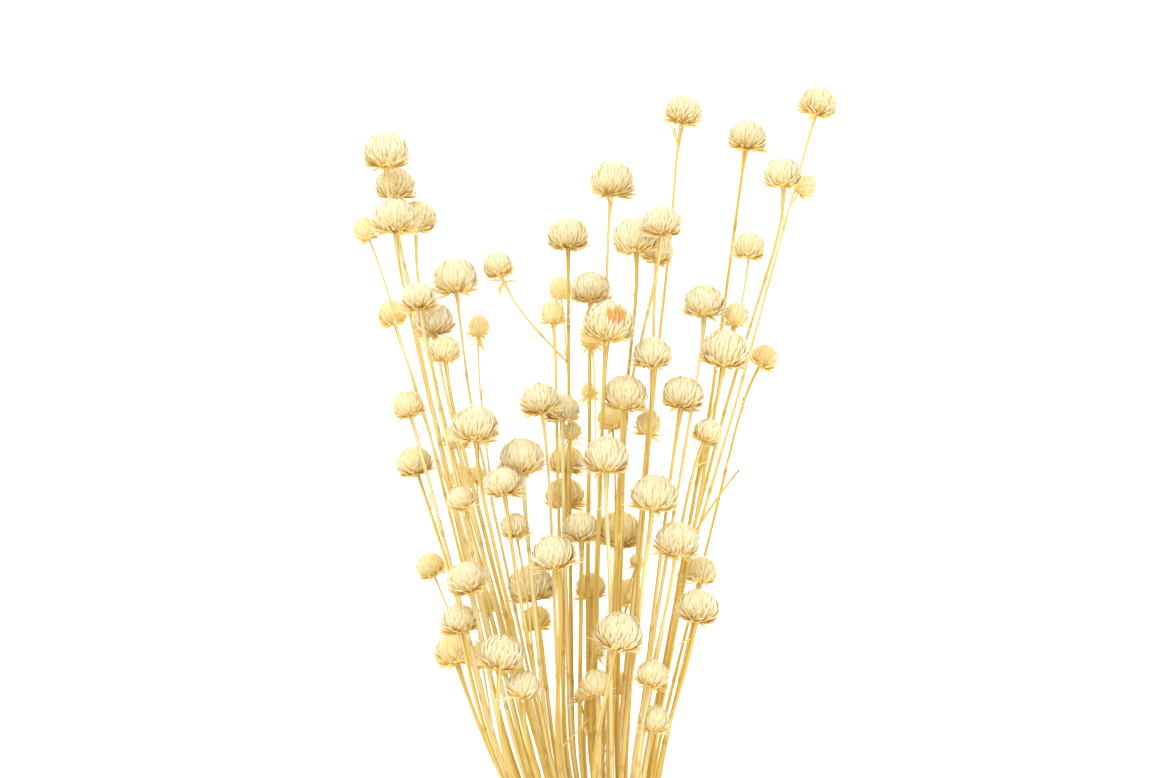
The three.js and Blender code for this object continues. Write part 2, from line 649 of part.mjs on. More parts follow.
function meshOf(name, solid, colour, roughness) {
  const { vertProperties, triVerts, numProp } = solid.getMesh();
  const count = vertProperties.length / numProp;
  const position = new Float32Array(count * 3);
  for (let i = 0; i < count; i += 1) {
    position.set(vertProperties.subarray(i * numProp, i * numProp + 3), i * 3);
  }
  const geometry = new THREE.BufferGeometry();
  geometry.setAttribute("position", new THREE.BufferAttribute(position, 3));
  geometry.setIndex(new THREE.BufferAttribute(new Uint32Array(triVerts), 1));
  const surface = new THREE.MeshStandardMaterial({ color: colour, roughness, metalness: 0 });
  const mesh = new THREE.Mesh(geometry, surface);
  mesh.name = name;
  return mesh;
}

const bunch = new THREE.Group();
const { stems, outline, tieHeight } = layOutStems();
settle(stems);
stems.forEach((one, i) => {
  const name = `flower_stem_${String(i + 1).padStart(2, "0")}`;
  bunch.add(meshOf(name, flowerStem(one), STEM_COLOUR, 0.85));
});
bunch.add(meshOf("twine_tie", tieSolid(outline, tieHeight), TWINE_COLOUR, 0.9));

const box = new THREE.Box3().setFromObject(bunch);
const middle = box.getCenter(new THREE.Vector3());
bunch.position.set(-middle.x, -middle.y, -box.min.z);

export default bunch;
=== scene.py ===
"""Looks of a tied bunch of dried, bleached globe amaranth, lying on a pale surface.

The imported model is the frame, and each of its nodes is replaced here by a finer piece that keeps its place
and form: a flower stem gets a ribbed, knotted skin and heads of 120 to 510 papery bracts, and the tie gets
twisted twine. Shapes are worked out in millimetres and written to the meshes in metres.
"""

import logging
import math
from dataclasses import dataclass
from enum import Enum

import bpy
import numpy as np
from mathutils import Matrix, Vector

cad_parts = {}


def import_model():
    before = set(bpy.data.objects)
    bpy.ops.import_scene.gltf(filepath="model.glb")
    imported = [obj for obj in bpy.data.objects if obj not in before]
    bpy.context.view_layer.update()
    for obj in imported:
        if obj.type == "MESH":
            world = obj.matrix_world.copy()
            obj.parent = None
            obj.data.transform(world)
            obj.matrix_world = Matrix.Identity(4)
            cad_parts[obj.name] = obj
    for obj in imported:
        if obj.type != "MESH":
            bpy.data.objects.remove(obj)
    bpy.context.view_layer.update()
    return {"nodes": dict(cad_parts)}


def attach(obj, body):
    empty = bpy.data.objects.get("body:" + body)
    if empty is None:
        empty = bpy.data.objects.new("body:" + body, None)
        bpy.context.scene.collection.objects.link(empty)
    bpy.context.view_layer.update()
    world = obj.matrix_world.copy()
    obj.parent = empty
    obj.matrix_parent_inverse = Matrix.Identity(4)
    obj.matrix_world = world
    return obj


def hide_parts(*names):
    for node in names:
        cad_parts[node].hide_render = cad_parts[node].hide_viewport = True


LOG = logging.getLogger("globe_bunch")
MM = 0.001
GOLDEN_ANGLE = math.pi * (3 - math.sqrt(5))

# The photo: its size in pixels, its scale, and the pixels of its middle and of where the stems meet
PHOTO_SIZE = (1168, 778)
PHOTO_SCALE = 0.524
PHOTO_MIDDLE = (584, 389)
PHOTO_TIE = (612, 1013)

# Half the width of a full head, which bracts and leaves are sized for, and the length over which stems thin
FULL_REACH = 10.5
STEM_REACH = 420.0

# The flower stem whose head has a patch of blushed bracts
BLUSHED = 21


@dataclass(frozen=True)
class Bloom:
    """A head as the part's source sets it out, measured in millimetres and degrees from the tie."""

    side: float
    along: float
    width: float
    lift: float
    lean: float = 0.0


# A row for each flower stem: its own head, and then each shoot's height on the stem and its head
PLAN: tuple[tuple[Bloom, tuple[tuple[float, Bloom], ...]], ...] = (
    (Bloom(-118, 452, 23, 0.62, 2), ()),
    (Bloom(-114, 435, 20, 0.3, 0), ()),
    (Bloom(-114, 417, 22, 0.68, -4), ((268, Bloom(-130, 411, 12.5, 0.35, -27)),)),
    (Bloom(-102, 418, 19, 0.24, 8), ()),
    (Bloom(-82, 386, 22.5, 0.62, -6), ((262, Bloom(-70, 360, 11, 0.2, 8)),)),
    (Bloom(-23, 408, 20.5, 0.55, 0),
     ((340, Bloom(-60, 392, 15, 0.62, -12)), (322, Bloom(-27, 380, 12, 0.22, -6)))),
    (Bloom(-11, 380, 20, 0.6, 2), ((294, Bloom(-12, 326, 7.5, 0.1, -5)),)),
    (Bloom(-31, 367, 12.5, 0.55, -6), ()),
    (Bloom(-101, 375, 17, 0.86, -8), ()),
    (Bloom(-116, 367, 14.7, 0.1, -14), ()),
    (Bloom(-93, 363, 20.5, 0.72, -6), ()),
    (Bloom(38, 473, 18.3, 0.5, 13), ()),
    (Bloom(109, 478, 18.3, 0.3, 17), ((412, Bloom(102, 434, 11.5, 0.2, 48)),)),
    (Bloom(71, 460, 19, 0.45, 8),
     ((306, Bloom(72, 402, 15.7, 0.62, 3)), (268, Bloom(65, 366, 12.6, 0.6, 14)))),
    (Bloom(89, 440, 19, 0.7, -6), ()),
    (Bloom(0, 437, 22.5, 0.5, 5), ()),
    (Bloom(26, 414, 19.4, 0.9, 2), ()),
    (Bloom(12, 407, 23, 0.58, -5), ()),
    (Bloom(24, 400, 16, 0.45, 6), ()),
    (Bloom(48, 373, 20, 0.72, 0), ()),
    (Bloom(-2, 362, 25.5, 0.9, 5), ((266, Bloom(-11, 354, 11.5, 0.4, -10)),)),
    (Bloom(-107, 319, 15.7, 0.55, -16), ()),
    (Bloom(-87, 348, 15.2, 0.78, -2), ((205, Bloom(-71, 282, 8.5, 0.4, 6)),)),
    (Bloom(-71, 309, 23, 0.98, 0), ()),
    (Bloom(-82, 302, 13.6, 0.42, -12), ((212, Bloom(-80, 281, 10.5, 0.1, -8)),)),
    (Bloom(-104, 289, 18.3, 0.4, -18), ((178, Bloom(-96, 234, 14.7, 0.1, -24)),)),
    (Bloom(-38, 322, 19, 0.78, -12), ()),
    (Bloom(-26, 317, 17, 0.5, 0), ((222, Bloom(-21, 305, 9.4, 0.44, 14)),)),
    (Bloom(-47, 292, 22.5, 0.8, -3), ()),
    (Bloom(-57, 279, 18, 0.95, -8), ((168, Bloom(-51, 256, 14.1, 0.85, -14)),)),
    (Bloom(-24, 290, 17.3, 0.22, 3), ()),
    (Bloom(-25, 272, 19.4, 0.06, 0), ()),
    (Bloom(-79, 270, 13.5, 0.8, -20), ()),
    (Bloom(-31, 242, 21.5, 0.95, -14), ()),
    (Bloom(-76, 229, 20, 0.85, -18), ((178, Bloom(-66, 215, 9, 0.12, -8)),)),
    (Bloom(-16, 255, 18.3, 0.6, 0), ()),
    (Bloom(-3, 293, 22.5, 0.9, 2), ()),
    (Bloom(21, 346, 19, 0.85, 0), ((212, Bloom(19, 309, 13.1, 0.7, 8)),)),
    (Bloom(59, 348, 24, 0.8, 9), ()),
    (Bloom(81, 344, 14.1, 0.1, 36), ()),
    (Bloom(7, 325, 22, 0.82, 6), ((212, Bloom(0, 312, 14.7, 0.2, -6)), (138, Bloom(9, 220, 13.1, 0.02, 8)))),
    (Bloom(37, 325, 21, 0.78, 10), ()),
    (Bloom(50, 305, 14.7, 0.85, 26), ()),
    (Bloom(22, 273, 23, 0.98, 8), ()),
    (Bloom(34, 249, 22, 0.95, 6), ()),
    (Bloom(47, 232, 16.2, 0.4, 6), ()),
    (Bloom(4, 253, 23, 0.1, 4), ((200, Bloom(13, 237, 6.3, 0.3, 4)),)),
    (Bloom(-80, 207, 18.3, 0.7, -10), ((126, Bloom(-69, 187, 11.5, 0.1, -8)),)),
    (Bloom(-84, 189, 19.4, 0.02, -16), ()),
    (Bloom(-57, 190, 22, 0.98, 10), ()),
    (Bloom(-46, 173, 16.2, 0.99, 8), ()),
    (Bloom(-43, 225, 23, 0.5, -14), ((160, Bloom(-40, 206, 14.7, 0.05, -6)),)),
    (Bloom(-11, 223, 15.2, 0.12, -4), ((152, Bloom(-8, 190, 8.5, 0.3, 6)),)),
    (Bloom(4, 201, 23.6, 0.97, 12), ()),
    (Bloom(45, 214, 21, 0.8, 9), ()),
    (Bloom(21, 179, 16.2, 0.95, 15), ()),
    (Bloom(22, 155, 15.7, 0.99, 12), ()),
    (Bloom(-8, 173, 15.7, 0.62, -4),
     ((116, Bloom(1, 172, 14.7, 0.05, 10)), (122, Bloom(-17, 166, 5, 0.5, -8)))),
)


class HeadKind(Enum):
    """How full a head is: its height to its width, and how many bracts cover it."""

    FULL = (0.82, 510)
    SMALL = (0.88, 270)
    BUD = (1.0, 120)

    @classmethod
    def of_width(cls, width: float) -> "HeadKind":
        """Returns the kind that a head of this width belongs to, as in the part's source."""
        return cls.FULL if width >= 17 else cls.SMALL if width >= 13.5 else cls.BUD

    @property
    def roundness(self) -> float:
        """The height of such a head to its width."""
        return self.value[0]

    @property
    def bracts(self) -> int:
        """How many bracts cover such a head."""
        return self.value[1]


class Finish(Enum):
    """The material slots of a flower stem's piece."""

    BRACT = 0
    STEM = 1


@dataclass(frozen=True)
class StemRules:
    """The sizes that the part's source gives its stems and that place a head on its neck."""

    radius: float = 1.36
    shoot_radius: float = 0.8
    neck_widening: float = 1.45
    neck_length: float = 13.0
    least_neck: float = 0.6
    neck_depth: float = 0.86
    rise_share: float = 0.3
    sag: float = 0.04
    full_width: float = 17.0
    full_shoot_width: float = 13.0
    thinnest_shoot: float = 0.75
    shoot_bend: float = 0.45
    thickest_shoot_ring: float = 0.95
    top_at_tie: float = 18.0
    top_rise: float = 0.34
    top_most: float = 92.0

    def top_of(self, along: float) -> float:
        """Returns how high the bunch stands at a distance from the tie."""
        return min(self.top_most, self.top_at_tie + self.top_rise * along)


@dataclass
class Head:
    """A flower head: its middle, the way it faces, half its width and half its height."""

    centre: np.ndarray
    axis: np.ndarray
    reach: float
    half: float
    kind: HeadKind
    blush: bool = False


@dataclass
class Strand:
    """A stem or a thinner shoot: points along its middle, the radius at each, and the head on it."""

    points: np.ndarray
    radii: np.ndarray
    head: Head
    is_shoot: bool

    def at(self, height: float) -> np.ndarray:
        """Returns the point of the strand's middle at a height along the bunch."""
        y = self.points[:, 1]
        return np.array([np.interp(height, y, self.points[:, k]) for k in range(3)])


class StemReader:
    """Reads the strands of a flower stem back from the six-cornered rings of its CAD node.

    Two heights count as one within the level gap, a ring's corners lie within its span, and their
    distances from the middle differ by less than its unevenness. A shoot's bend is sought within the
    slack of its height. All are in millimetres.
    """

    CORNERS = 6
    LEVEL_GAP = 0.004
    SPAN = 3.6
    UNEVENNESS = 0.03
    SLACK = 0.05

    def __init__(self, rules: StemRules) -> None:
        """Keeps the sizes that place a head on its neck."""
        self.rules = rules

    def rings(self, node: bpy.types.Object) -> list[tuple[np.ndarray, float]]:
        """Finds the rings of a node: six corners at one height along Y, equally far from their middle.

        Args:
            node: the CAD node's object.

        Returns:
            The middle and the radius of each ring, in millimetres, from the cut end up.
        """
        corners = np.empty(len(node.data.vertices) * 3)
        node.data.vertices.foreach_get("co", corners)
        corners = np.unique(np.round(corners.reshape(-1, 3) / MM, 3), axis=0)
        corners = corners[np.argsort(corners[:, 1], kind="stable")]
        found = []
        for level in np.split(corners, np.flatnonzero(np.diff(corners[:, 1]) > self.LEVEL_GAP) + 1):
            while len(level) >= self.CORNERS:
                near = np.hypot(*(level - level[0])[:, [0, 2]].T) < self.SPAN
                group = level[near]
                middle = group.mean(axis=0)
                reach = np.hypot(*(group - middle)[:, [0, 2]].T)
                if len(group) == self.CORNERS and np.ptp(reach) < self.UNEVENNESS:
                    found.append((middle, float(reach.mean())))
                level = level[~near]
        return found

    def neck(self, bloom: Bloom, radius: float) -> tuple[np.ndarray, float, float]:
        """Works out how a head stands on its neck, by the rules of the part's source.

        Args:
            bloom: the head's place.
            radius: the radius of its stem or shoot.

        Returns:
            The head's axis, how far back along it the neck begins, and the radius where it meets the head.
        """
        rules = self.rules
        lean = math.radians(bloom.lean)
        rise = (bloom.lift * rules.top_of(bloom.along) - rules.top_at_tie) / bloom.along
        axis = np.array([math.sin(lean), math.cos(lean), rise * rules.rise_share - rules.sag])
        scale = min(max(bloom.width / rules.full_width, rules.least_neck), 1.0)
        half = bloom.width * HeadKind.of_width(bloom.width).roundness / 2
        wide = radius * (1 + (rules.neck_widening - 1) * scale)
        return axis / np.linalg.norm(axis), half * rules.neck_depth + rules.neck_length * scale, wide

    def head_on(self, bloom: Bloom, neck_at: np.ndarray, radius: float) -> tuple[Head, float]:
        """Sets a head on its neck: its centre is the neck's first point + axis * the way back to it.

        Args:
            bloom: the head's place.
            neck_at: where its neck begins.
            radius: the radius of its stem or shoot there.

        Returns:
            The head, and the radius of its neck where it meets the head.
        """
        axis, back, wide = self.neck(bloom, radius)
        kind = HeadKind.of_width(bloom.width)
        half = bloom.width * kind.roundness / 2
        return Head(neck_at + axis * back, axis, bloom.width / 2, half, kind), wide

    def strands(self, node: bpy.types.Object, row: tuple) -> tuple[list[Strand], np.ndarray]:
        """Reads a flower stem.

        Args:
            node: its CAD node.
            row: its row of the plan.

        Returns:
            The stem and then its shoots, and where the tie stands in the frame.
        """
        bloom, shoots = row
        rings = self.rings(node)
        rules = self.rules
        thick = [ring for ring in rings if ring[1] > rules.thickest_shoot_ring]
        thin = [ring for ring in rings if ring[1] <= rules.thickest_shoot_ring]
        axis, back, _ = self.neck(bloom, rules.radius)
        tie = thick[-1][0] - np.array([bloom.side, bloom.along, 0]) + axis * back * np.array([1, 1, 0])
        tie[2] = 0.0
        head, wide = self.head_on(bloom, thick[-1][0], rules.radius)
        made = [self.strand(thick, head, wide, False)]
        for root, offshoot in shoots:
            share = min(max(offshoot.width / rules.full_shoot_width, rules.thinnest_shoot), 1.0)
            radius = rules.shoot_radius * share
            axis, back, _ = self.neck(offshoot, radius)
            neck_at = tie + np.array([offshoot.side, offshoot.along, 0]) - axis * back * np.array([1, 1, 0])
            joint = made[0].at(root + tie[1])
            steps = [(joint, radius)]
            middle = root + rules.shoot_bend * (neck_at[1] - tie[1] - root) + tie[1]
            steps += [ring for ring in thin if abs(ring[0][1] - middle) < self.SLACK][:1]
            end = min(thin, key=lambda ring: np.hypot(*(ring[0] - neck_at)[:2]))
            head, wide = self.head_on(offshoot, end[0], radius)
            made.append(self.strand([*steps, end], head, wide, True))
        return made, tie

    @staticmethod
    def strand(rings: list[tuple[np.ndarray, float]], head: Head, wide: float, is_shoot: bool) -> Strand:
        """Leads a strand through its rings and on into its head, to half way below the head's centre.

        Args:
            rings: the middle and the radius of each ring, from the root up.
            head: the head at its end.
            wide: the radius of its neck where it meets the head.
            is_shoot: whether it is a side shoot.

        Returns:
            The strand.
        """
        points = np.array([ring[0] for ring in rings] + [head.centre - head.axis * head.half * 0.5])
        radii = np.array([ring[1] for ring in rings] + [wide])
        return Strand(points, radii, head, is_shoot)


class Fabric:
    """Gathers the points and faces of one piece, with what its materials read at each point.

    tone holds four parts for each point. On a bract or leaf they are how far along it the point is, a draw
    for the whole blade, how high on its head it stands, and how far it is blushed; on a head the draw is
    lower for a head that lies low, which paints shade on it. On a stem they are how high over the tie it is,
    by which painted shade makes it more golden towards the tie, a draw, how brown it is, which is real
    browning at the knots and painted shade in the rib grooves and along dark lines down one side, and
    whether it is the cut end. On twine only the first two count: how high on its ply the point is, by which
    shade is painted in the grooves between the plies, and a draw. grain holds the point's place across and
    along the fibres, in millimetres.
    """

    # The height below which a point is pressed onto the surface, in millimetres
    soft = 0.7

    def __init__(self) -> None:
        """Starts with nothing."""
        self.points: list[np.ndarray] = []
        self.tones: list[np.ndarray] = []
        self.grains: list[np.ndarray] = []
        self.corners: list[np.ndarray] = []
        self.sizes: list[np.ndarray] = []
        self.slots: list[np.ndarray] = []
        self.rims: list[np.ndarray] = []
        self.count = 0

    def add(
        self, points: np.ndarray, tones: np.ndarray, grains: np.ndarray, faces: list[np.ndarray], slot: int,
        rims: np.ndarray | None = None,
    ) -> None:
        """Adds points and faces.

        Args:
            points: (count, 3), in millimetres.
            tones: (count, 4).
            grains: (count, 3).
            faces: arrays of rows of three or four numbers of the points.
            slot: the number of the material.
            rims: the thin rims that each point is on, as bits. An edge inside one rim stays crisp.
        """
        for group in faces:
            self.corners.append(group.ravel() + self.count)
            self.sizes.append(np.full(len(group), group.shape[1]))
            self.slots.append(np.full(len(group), slot))
        self.rims.append(np.zeros(len(points), dtype=np.int32) if rims is None else rims)
        self.points.append(points)
        self.tones.append(tones)
        self.grains.append(grains)
        self.count += len(points)

    def piece(self, name: str, finishes: list[bpy.types.Material]) -> bpy.types.Object:
        """Makes the mesh object of all that was added.

        What would sink into the surface is pressed onto it: below soft, z = soft * exp(z / soft - 1).

        Args:
            name: the piece's name.
            finishes: its materials, in the order of the slots that were named.

        Returns:
            The object, at the origin, with its place in its mesh.
        """
        mesh = bpy.data.meshes.new(name)
        corners = np.concatenate(self.corners).astype(np.int32)
        sizes = np.concatenate(self.sizes)
        mesh.vertices.add(self.count)
        points = np.concatenate(self.points)
        low = points[:, 2] < self.soft
        points[low, 2] = self.soft * np.exp(points[low, 2] / self.soft - 1)
        mesh.vertices.foreach_set("co", (points * MM).ravel())
        mesh.loops.add(len(corners))
        mesh.loops.foreach_set("vertex_index", corners)
        mesh.polygons.add(len(sizes))
        starts = np.cumsum(sizes) - sizes
        mesh.polygons.foreach_set("loop_start", starts.astype(np.int32))
        mesh.polygons.foreach_set("material_index", np.concatenate(self.slots).astype(np.int32))
        mesh.polygons.foreach_set("use_smooth", np.ones(len(sizes), dtype=bool))
        tone = mesh.attributes.new("tone", "FLOAT_COLOR", "POINT")
        tone.data.foreach_set("color", np.concatenate(self.tones).ravel())
        grain = mesh.attributes.new("grain", "FLOAT_VECTOR", "POINT")
        grain.data.foreach_set("vector", np.concatenate(self.grains).ravel())
        for finish in finishes:
            mesh.materials.append(finish)
        mesh.update(calc_edges=True)
        ends = np.empty(len(mesh.edges) * 2, dtype=np.int32)
        mesh.edges.foreach_get("vertices", ends)
        rims = np.concatenate(self.rims)[ends.reshape(-1, 2)]
        crisp = mesh.attributes.new("sharp_edge", "BOOLEAN", "EDGE")
        crisp.data.foreach_set("value", (rims[:, 0] & rims[:, 1]) > 0)
        made = bpy.data.objects.new(name, mesh)
        bpy.context.scene.collection.objects.link(made)
        return made


def unit(vectors: np.ndarray) -> np.ndarray:
    """Returns vectors scaled to a length of one, along their last axis."""
    return vectors / np.maximum(np.linalg.norm(vectors, axis=-1, keepdims=True), 1e-9)


def square_to(axis: np.ndarray) -> tuple[np.ndarray, np.ndarray]:
    """Finds two directions across an axis, by the cross product with Z, or with X if it is near to Z.

    Args:
        axis: a unit vector.

    Returns:
        Two unit vectors that are square to the axis and to each other.
    """
    helper = np.array([0.0, 0.0, 1.0]) if abs(axis[2]) < 0.9 else np.array([1.0, 0.0, 0.0])
    first = unit(np.cross(axis, helper))
    return first, np.cross(axis, first)


@dataclass
class Blades:
    """Many small closed blades of one build, each a spine with a leaf's outline and a keel.

    spines is (count, rows, 3): the first and last row are the blade's root and tip. across is the unit
    vector across each row, widths half the width there, and keels how far the spine stands out past the
    edges. thick is the blade's thickness at its keel. draws, heights and turned are the last three parts
    of its tone.
    """

    spines: np.ndarray
    across: np.ndarray
    widths: np.ndarray
    keels: np.ndarray
    thick: float
    draws: np.ndarray
    heights: np.ndarray
    turned: np.ndarray

    # A row's points from edge to edge and back below the keel, their rims, and the span of the grains' draws
    ACROSS = np.array([-1.0, 0.0, 1.0, 0.0])
    RIMS = np.array([1, 0, 2, 0])
    GRAIN_SPREAD = 40.0

    def weave(self, fabric: Fabric) -> None:
        """Adds the blades to a piece.

        A row's loop is spine + across * width * t + outward * keel * (1 - |t|) for t = -1, 0 and 1, and a
        fourth point that lies the thickness below the keel.

        Args:
            fabric: the piece that is being made.
        """
        count, rows, _ = self.spines.shape
        wide = len(self.ACROSS)
        along = np.gradient(self.spines, axis=1)
        outward = unit(np.cross(along, self.across))
        t = self.ACROSS[None, None, :, None]
        rise = self.keels[..., None, None] * (1 - np.abs(t))
        rise[:, :, 3] -= self.thick
        loops = self.spines[:, :, None] + self.across[:, :, None] * self.widths[..., None, None] * t
        loops = loops + outward[:, :, None] * rise
        body = loops[:, 1:-1].reshape(count, -1, 3)
        points = np.concatenate([self.spines[:, :1], body, self.spines[:, -1:]], axis=1)
        share = np.linspace(0, 1, rows)
        inner = rows - 2
        size = points.shape[1]
        tones = np.empty((count, size, 4))
        tones[..., 0] = np.concatenate([[0], np.repeat(share[1:-1], wide), [1]])
        tones[..., 1] = self.draws[:, None]
        tones[..., 2] = self.heights[:, None]
        tones[..., 3] = self.turned[:, None]
        steps = np.linalg.norm(np.diff(self.spines, axis=1), axis=-1).cumsum(axis=1)
        lengths = np.concatenate([np.zeros((count, 1)), steps], axis=1)
        grains = np.zeros((count, size, 3))
        grains[:, 1:-1, 0] = (self.widths[:, 1:-1, None] * self.ACROSS).reshape(count, -1)
        grains[:, 1:-1, 1] = np.repeat(lengths[:, 1:-1], wide, axis=1)
        grains[:, -1, 1] = lengths[:, -1]
        grains[..., 2] = self.draws[:, None] * self.GRAIN_SPREAD
        rims = np.tile(np.concatenate([[3], np.tile(self.RIMS, inner), [3]]), count).astype(np.int32)
        flat = (points.reshape(-1, 3), tones.reshape(-1, 4), grains.reshape(-1, 3))
        fabric.add(*flat, self.faces(count, inner, wide), Finish.BRACT.value, rims)

    @staticmethod
    def faces(count: int, inner: int, wide: int) -> list[np.ndarray]:
        """Finds the outward faces of blades that all have the same build.

        Args:
            count: how many blades there are.
            inner: how many rows of points each has between its root and its tip.
            wide: how many points each row has.

        Returns:
            The rows of four points of the sides, and the rows of three of the roots and tips.
        """
        size = inner * wide + 2
        ring = np.arange(wide)
        after = (ring + 1) % wide
        starts = 1 + wide * np.arange(inner - 1)[:, None]
        ahead = starts + wide
        quads = np.stack([starts + ring, ahead + ring, ahead + after, starts + after], axis=-1)
        root = np.stack([np.zeros(wide, int), 1 + ring, 1 + after], axis=-1)
        last = 1 + wide * (inner - 1)
        tip = np.stack([np.full(wide, size - 1), last + after, last + ring], axis=-1)
        shift = (np.arange(count) * size)[:, None, None]
        caps = np.concatenate([root, tip])[None] + shift
        return [(quads.reshape(1, -1, 4) + shift).reshape(-1, 4), caps.reshape(-1, 3)]


@dataclass
class FlowerHead:
    """The papery head at the end of a strand: overlapping keeled bracts on a core, with dry leaves below.

    Angles are in degrees, polar ones from the underside. Shares and lifts are parts of the globe's size. The
    bract width is half a bract's, in millimetres, and keels are parts of it.
    """

    head: Head
    draw: np.random.Generator
    skirt_polar: float = 50.0
    crown_polar: float = 177.0
    skirt_end: float = 118.0
    skirt_fade: float = 66.0
    sweep: float = 42.0
    skirt_sweep: float = 6.0
    crown_sweep: float = 12.0
    core_share: float = 0.955
    root_share: float = 0.92
    tip_share: float = 0.985
    lift: float = 0.026
    skirt_lift: float = 0.36
    stray_lift: float = 0.17
    bract_width: float = 0.9
    bract_thick: float = 0.08
    keel: float = 0.02
    keel_spread: float = 0.05
    skirt_keel: float = 0.22
    leaf_thick: float = 0.16
    stubs: int = 12
    core_tone: tuple[float, ...] = (0.35, 0.6, 0.3, 0.0)
    rows: tuple[float, ...] = (0.0, 0.28, 0.6, 0.88, 1.0)
    turned_toward: tuple[float, float, float] = (0.33, 0.42, 0.85)

    def frame(self) -> tuple[np.ndarray, np.ndarray, np.ndarray]:
        """Returns the head's axis and two vectors square to it."""
        first, second = square_to(self.head.axis)
        return self.head.axis, first, second

    def on_globe(
        self, polar: np.ndarray, turn: np.ndarray, out: np.ndarray
    ) -> tuple[np.ndarray, np.ndarray]:
        """Finds points of the globe.

        A point is centre - axis * half * out * cos(polar) + radial * reach * out * sin(polar)**full. full
        is less than one below the middle, which makes the underside flat and broad.

        Args:
            polar: the angle from the underside, in radians.
            turn: the angle round the axis, in radians.
            out: the share of the globe's size.

        Returns:
            The points and the unit vectors round the axis there.
        """
        axis, first, second = self.frame()
        radial = np.cos(turn)[..., None] * first + np.sin(turn)[..., None] * second
        around = -np.sin(turn)[..., None] * first + np.cos(turn)[..., None] * second
        head = self.head
        points = head.centre - axis * (head.half * out * np.cos(polar))[..., None]
        full = 1.06 - 0.44 * np.clip(np.cos(polar) / 0.5 + 0.3, 0, 1)
        wide = head.reach * out * np.maximum(np.sin(polar), 0) ** full
        return points + radial * wide[..., None], around

    def bracts(self, fabric: Fabric) -> None:
        """Adds the bracts, each a golden angle further round and a little higher than the one before.

        The cosine of the tips' polar angle goes from the skirt's to the crown's by 1 - (1 - share)**1.35,
        and a bract's width by (s + 0.3)**0.5 * (1 - s**1.9)**0.85, where s is the way along it.

        Args:
            fabric: the piece that is being made.
        """
        head, draw = self.head, self.draw
        count = head.kind.bracts
        index = np.arange(count)
        share = (index + 0.5) / count
        low, high = np.cos(np.radians([self.skirt_polar, self.crown_polar]))
        tips = np.arccos(low + (high - low) * (1 - (1 - share) ** 1.35)) + draw.normal(0, 0.045, count)
        turn = index * GOLDEN_ANGLE + draw.normal(0, 0.07, count) + draw.uniform(0, 6.28)
        open_side = 1 + 0.45 * np.cos(turn - draw.uniform(0, 6.28))
        skirt = np.clip((math.radians(self.skirt_end) - tips) / math.radians(self.skirt_fade), 0, 1) ** 1.3
        flare = skirt * open_side * draw.uniform(0.75, 1.25)
        crown = np.clip((share - 0.7) / 0.3, 0, 1)
        spines, across = self.spines(tips, turn, skirt, flare, crown)
        half_width = self.bract_width * (head.reach / FULL_REACH) ** 0.25 * (1 + 0.4 * skirt - 0.1 * crown)
        half_width = half_width * draw.uniform(0.85, 1.15, count)
        s = np.array(self.rows)[None]
        widths = half_width[:, None] * ((s + 0.3) ** 0.5 * (1 - s**1.9) ** 0.85)
        keel = self.keel + self.keel_spread * draw.random(count) + self.skirt_keel * skirt
        keels = widths * keel[:, None]
        across = self.rolled(spines, across, draw.normal(0, 0.12 + 0.3 * skirt, count))
        turned = self.blushed(spines)
        # Each blade's draw is its head's paleness with a random spread, lower for a head that lies low,
        # which paints shade on it.
        draws = np.clip(self.paleness_and_low_shade() + draw.normal(0, 0.16, count), 0, 1)
        Blades(spines, across, widths, keels, self.bract_thick, draws, share, turned).weave(fabric)

    def spines(
        self, tips: np.ndarray, turn: np.ndarray, skirt: np.ndarray, flare: np.ndarray, crown: np.ndarray
    ) -> tuple[np.ndarray, np.ndarray]:
        """Lays the bracts' middle lines.

        A bract's polar angle runs from its tip's angle less its sweep to that angle. It rises from inside
        the core to the globe's surface as a quarter sine, and lifts off by the way along to the power of
        2.2. The bracts of a small head lift off more than those of a large one.

        Args:
            tips: the polar angle of each bract's tip, in radians.
            turn: its angle round the axis, in radians.
            skirt: how far it belongs to the skirt, from 0 to 1.
            flare: how far it spreads with the skirt, which is more on the head's open side.
            crown: how far it belongs to the crown, from 0 to 1.

        Returns:
            The lines' points and the unit vectors across them.
        """
        head, draw = self.head, self.draw
        count = len(tips)
        s = np.array(self.rows)[None]
        sweep = np.radians(self.sweep + self.skirt_sweep * skirt - self.crown_sweep * crown)
        sweep = sweep * draw.uniform(0.88, 1.12, count)
        polar = np.maximum(tips[:, None] - sweep[:, None] * (1 - s) ** 1.05, math.radians(15))
        rise = np.sin(0.5 * math.pi * s**0.7)
        root = (self.root_share + 0.03 * skirt)[:, None]
        tip = (self.tip_share - 0.01 * crown - 0.03 * skirt) * draw.uniform(0.985, 1.015, count)
        lift = (self.lift + self.skirt_lift * flare) * draw.uniform(0.2, 1.9, count)
        lift = lift + self.stray_lift * draw.random(count) ** 4
        raggedness = 2.2 if head.kind is HeadKind.BUD else 0.7
        lift = lift * min(FULL_REACH / head.reach, 2.0) ** raggedness
        out = root + (tip[:, None] - root) * rise + lift[:, None] * s**2.2
        twist = draw.normal(0, 0.06, count)[:, None] * s**2
        return self.on_globe(polar, turn[:, None] + twist, out)

    def blushed(self, spines: np.ndarray) -> np.ndarray:
        """Finds how far each bract is blushed, which only those round one point of a blushed head are.

        Args:
            spines: the bracts' middle lines.

        Returns:
            The blush of each, from 0 to 1.
        """
        if not self.head.blush:
            return np.zeros(len(spines))
        near = unit(spines[:, -2] - self.head.centre) @ unit(np.array(self.turned_toward))
        return np.clip((near - 0.89) / 0.05, 0, 1) * self.draw.uniform(0.75, 1.0, len(spines))

